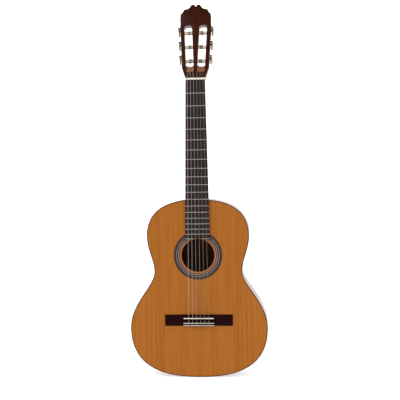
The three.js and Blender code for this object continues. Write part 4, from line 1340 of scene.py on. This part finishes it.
# ---------- head ----------
@dataclass
class Head:
    """The slotted head: core, face veneer and the two machine plates."""

    shop: Workshop
    axes: HeadAxes
    thick: float = 19.0
    veneer: float = 2.0
    slot_half: float = 10.65
    slot_middle: float = -20.9
    slot_from: float = 37.5
    slot_to: float = 155.0
    ramp_from: float = 15.0
    ramp_deep: float = 15.0
    plate_from: float = 32.0
    plate_to: float = 160.0
    plate_thick: float = 1.2
    plate_half: float = 6.3
    plate_screws: tuple[float, ...] = (36.0, 74.0, 117.0, 156.0)
    ear_out: float = 9.4

    def build(self, tuners: Sequence["Tuner"]) -> None:
        """Builds the core, the veneer and each side's plate with its ears and screws."""
        done = self.shop.finishes
        down = [(0.0, float(n)) for n in np.linspace(-self.veneer, 0.8 - self.thick, 9)]
        core = self._slotted(down + rounded(-self.veneer, -self.thick, 0.9)[5:], 0.3)
        self.shop.piece("head_core", core, done.neck, "neck_mahogany", replaces=["headstock"])
        face = self._slotted(rounded(0, -self.veneer, 0.5)[:4] + [(0.0, -self.veneer)], 0.8)
        self.shop.piece("head_face_veneer", face, done.veneer, "head_rosewood", replaces=["head_veneer"])
        for side, name in ((-1, "bass"), (1, "treble")):
            self.plate(side, name)
            self.ramp(side, name)
            for index, tuner in enumerate(t for t in tuners if t.side == side):
                self.ears(side, f"{name}_{index + 1}", tuner)

    def outline(self, start: float) -> Array:
        """The head's outline: straight flaring sides and a crest of round lobes about a notch."""
        lean = math.tan(self.axes.flare)

        def side(s: float) -> tuple[float, float]:
            """A point of the straight side."""
            return self.axes.side_half + s * lean, s

        shoulder = [(27.2, start), (28.2, 4.2), (30.2, 10), (33.6, 20)]
        straight = [side(s) for s in (30, 60, 100, 140, 163)]
        crest = [(42.8, 172), (42.8, 180), (42.2, 186), (40.6, 190.3), (37.6, 193.2), (35.2, 195.8),
                 (34.2, 199.4), (32.2, 202.3), (28.6, 203.5), (23.6, 204), (19.4, 206.4), (16, 210),
                 (13.4, 214), (10.8, 216.7), (8, 217.5), (5, 216.5), (2.2, 213.6), (0, 210.6)]
        half = smooth_through(shoulder + straight + crest, 4)
        return np.vstack([half, (half * (-1, 1))[-2::-1]])

    def slot(self, side: int, n: float, grow: float, count: int = 12) -> Array:
        """One slot's outline at a depth, before it is placed beside the head's side line.

        The upper end is a half ellipse. The lower end is a flatter one that moves down as n nears
        the face, which makes the ramp for the strings.

        Args:
            side: -1 or 1.
            n: depth below the face.
            grow: how far the slot is widened all round.
            count: points in each end.

        Returns:
            (out, s) points.
        """
        half = self.slot_half + grow
        share = min(max(-n / self.ramp_deep, 0), 1)
        low = self.ramp_from + (self.slot_from - self.ramp_from) * share**1.05 - grow
        bow = 1.5 + 4.5 * share
        top = self.slot_to - 0.7 * self.slot_half
        angle = np.linspace(0, math.pi, count)
        upper = np.column_stack([half * np.cos(angle), top + (0.7 * self.slot_half + grow) * np.sin(angle)])
        lower = np.column_stack([-half * np.cos(angle), low + bow - bow * np.sin(angle)])
        return np.vstack([upper, lower]) + (self.slot_middle, 0)

    def _slotted(self, levels: Sequence[tuple[float, float]], start: float) -> Shell:
        """A slab of the head's outline with both slots through it.

        Args:
            levels: (inset, n) pairs from the front face to the back face.
            start: where the outline starts, beside the nut.

        Returns:
            The closed slab: an outer wall, two slot walls and two flat faces with holes.
        """
        loop = self.outline(start)
        outer = [self.axes.bench(np.column_stack([inward(loop, inset), np.full(len(loop), n)]))
                 for inset, n in levels]
        walls = []
        for side in (-1, 1):
            wall = []
            for inset, n in levels:
                out = self.slot(side, n, inset)
                wall.append(self.axes.beside(np.column_stack([out, np.full(len(out), n)]), side))
            walls.append(wall)
        shell = Shell().grid(np.stack(outer), around=True)
        for wall in walls:
            shell.grid(np.stack(wall), around=True)
        for index in (0, -1):
            shell.flat([outer[index], walls[0][index], walls[1][index]])
        return shell

    def ramp(self, side: int, name: str) -> None:
        """A thin lining of bare wood on the scooped lower end of a slot, where the strings pass."""
        rows = []
        for n in np.linspace(-self.veneer - 0.2, -self.ramp_deep, 9):
            loop = self.slot(side, float(n), -0.05)[12:]
            rows.append(np.column_stack([loop[1:-1], np.full(len(loop) - 2, n)]))
        face = np.stack(rows)
        proud = face + (0, 0.12, 0.12)
        shell = sheet_solid(self.axes.beside(proud, side), self.axes.beside(face - (0, 0.3, 0.3), side))
        self.shop.piece(f"slot_ramp_{name}", shell, self.shop.finishes.ramp, "neck_mahogany")

    def plate(self, side: int, name: str) -> None:
        """One machine plate: a long strip with round ends and eased rims, and its four screws."""
        near, far = ROLLER_DEEP - self.plate_half, ROLLER_DEEP + self.plate_half
        loop = box_loop(self.plate_from, self.plate_to, near, far, 3.0)
        shell = slab(loop, rounded(0.1, self.plate_thick, 0.3, 2),
                     lambda p: self.axes.beside(p[..., [2, 0, 1]], side))
        self.shop.piece(f"tuner_plate_{name}", shell, self.shop.finishes.nickel, "nickel",
                        replaces=[f"machine_plate_{name}"])
        out = self.plate_thick
        dome = [(out - 0.1, 2.2), (out + 0.2, 2.2), (out + 0.7, 1.7), (out + 0.95, 0.8), (out + 0.95, 0.01)]
        for index, s in enumerate(self.plate_screws):
            screw = lathe(dome, lambda p, s=s: self.axes.beside(p + (0, s, ROLLER_DEEP), side), 16)
            self.shop.piece(f"plate_screw_{name}_{index + 1}", screw, self.shop.finishes.nickel, "nickel")

    def ears(self, side: int, name: str, tuner: "Tuner") -> None:
        """The two bent ears that hold one worm: tabs out of the plate that widen to a bar at the top."""
        up = tuner.level + tuner.worm_up
        out = self.ear_out
        waist = out - 2.8
        loop = np.array([(0.2, up - 3.4), (waist - 1.2, up - 3.4), (waist, up - 2.2), (waist, up + 1.6),
                         (out - 0.9, up + 2.4), (out, up + 3.2), (out, up + 4.6), (out - 0.8, up + 5.2),
                         (0.2, up + 5.2)])
        for label, near in (("front", tuner.deep + 6.4), ("back", tuner.deep - 7.9)):
            shell = slab(loop, rounded(near + 1.5, near, 0.3, 2), lambda p: self.axes.beside(p, side))
            self.shop.piece(f"tuner_ear_{name}_{label}", shell, self.shop.finishes.nickel, "nickel")


# ---------- tuning machines ----------
@dataclass
class Tuner:
    """One tuning machine: roller, gear and winding on one body; worm, shaft and button on another."""

    shop: Workshop
    axes: HeadAxes
    name: str
    side: int
    level: float
    string_radius: float
    wound: bool
    deep: float = ROLLER_DEEP
    roller_radius: float = ROLLER_RADIUS
    teeth: int = 14
    gear_tip: float = 8.0
    gear_root: float = 6.6
    gear_out: float = 4.9
    gear_wide: float = 3.0
    mesh_radius: float = 7.4
    worm_core: float = 1.9
    worm_thread: float = 3.05
    worm_up: float = 10.35
    landing: float = STRING_LANDING
    wound_width: float = 8.2

    @property
    def pitch(self) -> float:
        """The worm's lead: one gear tooth, measured where thread and teeth meet."""
        return TURN * self.mesh_radius / self.teeth

    def _across(self, points: Array) -> Array:
        """(out, along s, along n) about the roller's axis, in bench axes."""
        return self.axes.beside(points + (0, self.level, self.deep), self.side)

    def _down(self, points: Array) -> Array:
        """(n, out, s) about the worm's axis, in bench axes."""
        n, out, up = np.moveaxis(points, -1, 0)
        moved = np.stack([self.gear_out + out, self.level + self.worm_up + up, self.deep + n], -1)
        return self.axes.beside(moved, self.side)

    def build(self) -> None:
        """Builds all pieces of the machine."""
        done = self.shop.finishes
        r = self.roller_radius
        drum = [(-34.4, 0.01), (-34.4, r - 0.4), (-34.0, r), (-29.6, r), (-29.4, r - 0.25), (-29.2, r),
                (-12.6, r), (-12.4, r - 0.25), (-12.2, r), (-0.8, r), (-0.4, r - 0.4), (-0.4, 0.01)]
        self.shop.piece(f"string_drum_{self.name}", lathe(drum, self._across, 32), done.ivory, "roller_ivory",
                        f"roller_{self.name}", [f"roller_{self.name}"])
        self.gear()
        self.winding()
        self.worm()
        self.button()

    def gear(self) -> None:
        """The gear and its screw: a toothed outline with a chamfer on each face, and a slotted dome.

        The radius goes between root and tip as a clipped cosine of the angle times the tooth count,
        with a gap where the worm's thread lies at rest.
        """
        angle = TURN * np.arange(self.teeth * 12) / (self.teeth * 12)
        tooth = np.clip(0.5 - 1.15 * np.cos(self.teeth * (angle - math.pi / 2)), 0, 1)
        radius = self.gear_root + (self.gear_tip - self.gear_root) * tooth
        s = radius * np.sin(angle)
        n = radius * np.cos(angle)
        outs = np.array([-1.0, -0.86, 0.86, 1.0]) * self.gear_wide / 2 + self.gear_out
        scale = [0.965, 1.0, 1.0, 0.965]
        rows = [np.column_stack([np.full(len(s), out), s * by, n * by]) for out, by in zip(outs, scale)]
        shell = loft(self._across(np.stack(rows)))
        finish = self.shop.finishes.nickel
        body = f"roller_{self.name}"
        self.shop.piece(f"tuner_gear_{self.name}", shell, finish, "nickel", body)
        out = self.gear_out + self.gear_wide / 2
        dome = [(out - 0.2, 3.0), (out + 0.3, 3.0), (out + 0.8, 2.4), (out + 1.05, 1.2), (out + 1.05, 0.01)]
        self.shop.piece(f"gear_screw_{self.name}", lathe(dome, self._across, 20), finish, "nickel", body)

    def winding(self) -> None:
        """The string's end on the drum: a helix of touching turns about the roller's axis."""
        pitch = 2 * self.string_radius + 0.12
        turns = self.wound_width / pitch
        angle = np.linspace(0, turns * TURN, int(turns * 26))
        r = self.roller_radius + self.string_radius
        path = np.stack([self.landing - pitch * angle / TURN, r * np.sin(angle), r * np.cos(angle)], -1)
        finish = self.shop.finishes.wound if self.wound else self.shop.finishes.nylon
        slot = "string_wound" if self.wound else "string_nylon"
        self.shop.piece(f"winding_{self.name}", tube(self._across(path), self.string_radius, 8), finish, slot,
                        f"roller_{self.name}")

    def worm(self) -> None:
        """The worm and its shaft, as one turned surface with a thread that climbs one pitch a turn.

        Thread height is a raised cosine of the distance from the nearest turn of a helix, and it
        fades out at both ends of the thread.
        """
        core = 2.6
        profile = [(8.5, 0.01), (8.5, 1.2), (8.2, 1.5), (6.1, 1.6), (6.0, core * 0.7)]
        profile += [(float(n), self.worm_core) for n in np.linspace(5.9, -5.9, 95)]
        profile += [(-6.0, core * 0.7), (-6.1, 1.6), (-8.2, 1.6), (-8.3, 2.4), (-9.6, 2.4), (-9.8, 1.6),
                    (-18.4, 1.5), (-18.4, 0.01)]

        def thread(angle: Array, n: Array) -> Array:
            """Height of the thread over the core."""
            phase = n / self.pitch - self.side * (math.pi / 2 + angle) / TURN
            distance = np.abs(phase - np.round(phase)) * self.pitch
            high = np.clip((0.62 - distance) / 0.3, 0, 1)
            inside = np.clip((3.9 - np.abs(n)) / 0.4, 0, 1)
            return (self.worm_thread - self.worm_core) * high * inside

        shell = lathe(profile, self._down, 40, thread)
        self.shop.piece(f"worm_{self.name}", shell, self.shop.finishes.nickel, "nickel", f"knob_{self.name}",
                        [f"knob_{self.name}"])

    def button(self) -> None:
        """The turning button: an oval section that swells from its neck to its middle and rounds over.

        Width and height follow powers of the sine of the way along it.
        """
        near, far = -18.3, -35.5
        share = np.linspace(0, 1, 33)
        n = near + (far - near) * (1 - np.cos(math.pi * share)) / 2
        along = (n - near) / (far - near)
        wide = 2.4 + 2.2 * np.sin(math.pi * np.clip(along * 0.8 + 0.1, 0, 1)) ** 0.8
        high = 2.6 + 5.8 * np.sin(math.pi * np.clip(along * 0.86 + 0.06, 0, 1)) ** 0.75
        close = np.clip(np.minimum(along, 1 - along) / 0.14, 0, 1)
        close = np.sqrt(1 - (1 - close) ** 2)
        angle = (TURN * np.arange(40) / 40)[None, :]
        out = (wide * close)[:, None] * np.cos(angle)
        up = (high * close)[:, None] * np.sin(angle)
        rows = np.stack([np.broadcast_to(n[:, None], out.shape), out, up], -1)
        shell = Shell().grid(self._down(rows), around=True)
        self.shop.piece(f"button_{self.name}", shell, self.shop.finishes.pearl, "button_pearl",
                        f"knob_{self.name}")


# ---------- strings ----------
@dataclass(frozen=True)
class Line:
    """One string: its name, radius and place."""

    name: str
    radius: float
    wound: bool
    roller: int
    saddle_x: float
    nut_x: float

    @property
    def side(self) -> int:
        """The side of the head on which its machine sits."""
        return -1 if self.wound else 1


@dataclass
class Strings:
    """Six strings, from their knots at the tie block to their rollers."""

    shop: Workshop
    axes: HeadAxes
    spread_at_nut: float = 42.5
    spread_at_saddle: float = 54.5
    over_nut: float = 8.1
    tie_at: float = 142.0
    hole_high: float = 4.6
    saddle_at: float = SADDLE_AT
    saddle_high: float = SADDLE_HIGH
    nut_at: float = NUT_AT
    levels: tuple[float, ...] = (51.8, 93.1, 134.8)
    lines: list[Line] = field(default_factory=list)

    def __post_init__(self) -> None:
        """Spaces the six strings evenly at the nut and at the saddle."""
        kinds = [("e6", 0.55, 0), ("a5", 0.46, 1), ("d4", 0.38, 2),
                 ("g3", 0.51, 2), ("b2", 0.41, 1), ("e1", 0.36, 0)]
        for index, (name, radius, roller) in enumerate(kinds):
            share = index / 5 - 0.5
            self.lines.append(Line(name, radius, index < 3, roller, self.spread_at_saddle * share,
                                   self.spread_at_nut * share))

    def build(self) -> None:
        """Builds the six strings."""
        for line in self.lines:
            finish = self.shop.finishes.wound if line.wound else self.shop.finishes.nylon
            slot = "string_wound" if line.wound else "string_nylon"
            self.shop.piece(f"string_run_{line.name}", tube(self.route(line), line.radius), finish, slot,
                            replaces=[f"string_{line.name}"], crease=60)

    def route(self, line: Line) -> Array:
        """The middle line of one string.

        It starts at the free end behind the tie block, crosses the block, goes round the string
        itself, crosses back, turns down into its hole, and comes out in the trough. Then it runs
        over saddle and nut and down to its roller.

        Args:
            line: the string.

        Returns:
            The sampled route, in bench axes.
        """
        x, r, back = line.saddle_x, line.radius, self.tie_at
        over = 9.05 + r
        knot = smooth_through([
            (x - 4.2, back - 3.6, 1.4), (x - 3.6, back - 1.8, 3.6), (x - 3.2, back - 0.9, 6.6),
            (x - 2.8, back + 1, over), (x - 2.2, back + 5, over), (x - 1.7, back + 9, over),
            (x - 1.35, back + 11.4, over - 1.2),
            (x - 0.9, back + 12.6, 5.4), (x, back + 12.9, 4.4), (x + 1.1, back + 12.4, 6.2),
            (x + 1.1, back + 11.2, over - 0.8), (x + 0.5, back + 9, over), (x + 0.1, back + 5, over),
            (x, back + 1, over), (x, back - 1.1, 7.4), (x, back - 1.1, 5.4), (x, back + 0.6, self.hole_high),
        ], 6)
        top = self.saddle_high + r + 0.12
        nut = self.over_nut + r
        run = [(x, back + 10.6, self.hole_high), (x, self.saddle_at - 1.4, top - 0.5),
               (x, self.saddle_at - 0.6, top), (x, self.saddle_at + 0.8, top),
               (line.nut_x, self.nut_at, nut), (line.nut_x, self.nut_at + 4.6, nut)]
        end = (STRING_LANDING, self.levels[line.roller], ROLLER_DEEP + ROLLER_RADIUS + r)
        landing = self.axes.beside(np.array([end]), line.side)
        steps = np.linspace(0, 1, 9)[1:, None]
        last = np.array(run[-1])
        return np.vstack([knot, run, last + (landing - last) * steps])


# ---------- studio ----------
@dataclass
class Studio:
    """A pale sweep, soft lights and the camera."""

    target: tuple[float, float, float] = (0.00794, -0.0495, 0.48767)
    distance: float = 2.2
    azimuth: float = 4.437
    elevation: float = 1.80
    roll: float = -0.856
    lens: float = 72.42
    floor_to: float = 2.0
    wall_at: float = 6.5
    wall_high: float = 5.5
    bend_radius: float = 2.0
    below: float = 0.0005
    sides: int = 96

    def build(self) -> None:
        """Sets up the floor, the lights, the world and the camera."""
        self.sweep()
        self.world()
        self.softbox("key", (-1.9, -2.2, 2.8), 1.5, 51)
        self.softbox("fill", (2.6, -1.6, 1.2), 1.6, 17)
        self.softbox("back", (0.6, 2.4, 2.2), 1.6, 20)
        self.camera()
        bpy.context.scene.view_settings.view_transform = "Standard"

    def sweep(self) -> None:
        """A white floor that curves up into a round wall: a quarter circle turned about the middle."""
        bend = np.linspace(0, math.pi / 2, 13)
        radius, wall = self.bend_radius, self.wall_at
        out = np.concatenate([[0.01, self.floor_to], wall - radius + radius * np.sin(bend), [wall]])
        high = np.concatenate([[0.0, 0.0], radius - radius * np.cos(bend), [self.wall_high]]) - self.below
        out, high = out[:, None], high[:, None]
        angle = (TURN * np.arange(self.sides) / self.sides)[None, :]
        points = np.stack(np.broadcast_arrays(out * np.cos(angle), out * np.sin(angle), high), -1)
        number = np.arange(points.shape[0] * self.sides).reshape(-1, self.sides)
        number = np.hstack([number, number[:, :1]])
        quads = np.stack([number[:-1, :-1], number[1:, :-1], number[1:, 1:], number[:-1, 1:]], -1)
        faces = quads.reshape(-1, 4)[:, ::-1].tolist() + [number[0, :-1].tolist()]
        mesh = bpy.data.meshes.new("studio_sweep")
        mesh.from_pydata(points.reshape(-1, 3).tolist(), [], faces)
        mesh.polygons.foreach_set("use_smooth", [True] * len(faces))
        recipe = Recipe("studio_white")
        parts = recipe.add("ShaderNodeSeparateXYZ")
        recipe.feed(parts.inputs[0], recipe.place)
        glow = recipe.math("MULTIPLY_ADD", recipe.span(parts.outputs[1], -3.0, 1.5), 0.36, 0.3)
        recipe.set(Base_Color=(0.82, 0.82, 0.82, 1), Roughness=0.6, Specular_IOR_Level=0.1,
                   Emission_Color=(1, 1, 1, 1), Emission_Strength=glow)
        mesh.materials.append(recipe.material)
        floor = bpy.data.objects.new("studio_sweep", mesh)
        bpy.context.scene.collection.objects.link(floor)

    def world(self) -> None:
        """Even soft light from all round."""
        world = bpy.data.worlds.new("studio_world")
        world.use_nodes = True
        light = world.node_tree.nodes["Background"]
        light.inputs["Color"].default_value = (1, 1, 1, 1)
        light.inputs["Strength"].default_value = 0.28
        bpy.context.scene.world = world

    def softbox(self, name: str, place: tuple[float, float, float], size: float, power: float) -> None:
        """A square area light aimed at the middle of the guitar."""
        light = bpy.data.lights.new(f"softbox_{name}", "AREA")
        light.size = size
        light.energy = power
        lamp = bpy.data.objects.new(f"softbox_{name}", light)
        way = Vector(place) - Vector(self.target)
        lamp.location = place
        lamp.rotation_euler = way.to_track_quat("Z", "Y").to_euler()
        bpy.context.scene.collection.objects.link(lamp)

    def camera(self) -> None:
        """The camera: back from the target by its azimuth and elevation, then rolled."""
        a, e, roll = (math.radians(v) for v in (self.azimuth, self.elevation, self.roll))
        back = Vector((math.sin(a) * math.cos(e), -math.cos(a) * math.cos(e), math.sin(e)))
        right = (-back).cross(Vector((0, 0, 1))).normalized()
        up = right.cross(-back)
        rolled_right = right * math.cos(roll) + up * math.sin(roll)
        rolled_up = up * math.cos(roll) - right * math.sin(roll)
        turn = Matrix((rolled_right, rolled_up, back)).transposed()
        data = bpy.data.cameras.new("camera")
        data.lens = self.lens
        data.sensor_width = 36
        data.clip_end = 50
        camera = bpy.data.objects.new("camera", data)
        camera.matrix_world = Matrix.Translation(Vector(self.target) + back * self.distance) @ turn.to_4x4()
        bpy.context.scene.collection.objects.link(camera)
        bpy.context.scene.camera = camera


def main() -> None:
    """Builds the studio, then each sub-assembly in turn."""
    logging.basicConfig(level=logging.INFO, format="%(name)s %(message)s")
    Studio().build()
    shop = Workshop(Finishes())
    axis = next(joint["axis"] for joint in frame["joints"] if joint["name"] == "knob_e6_turn")
    head_axes = HeadAxes(math.atan2(axis[2], -axis[1]))
    strings = Strings(shop, head_axes)
    Body(shop).build()
    Bridge(shop).build()
    Neck(shop, head_axes).build()
    Fingerboard(shop).build(strings)
    tuners = [Tuner(shop, head_axes, line.name, line.side, strings.levels[line.roller], line.radius,
                    line.wound) for line in strings.lines]
    Head(shop, head_axes).build(tuners)
    for tuner in tuners:
        tuner.build()
    strings.build()
    log.info("%d pieces made", shop.made)


if __name__ == "__main__":
    main()
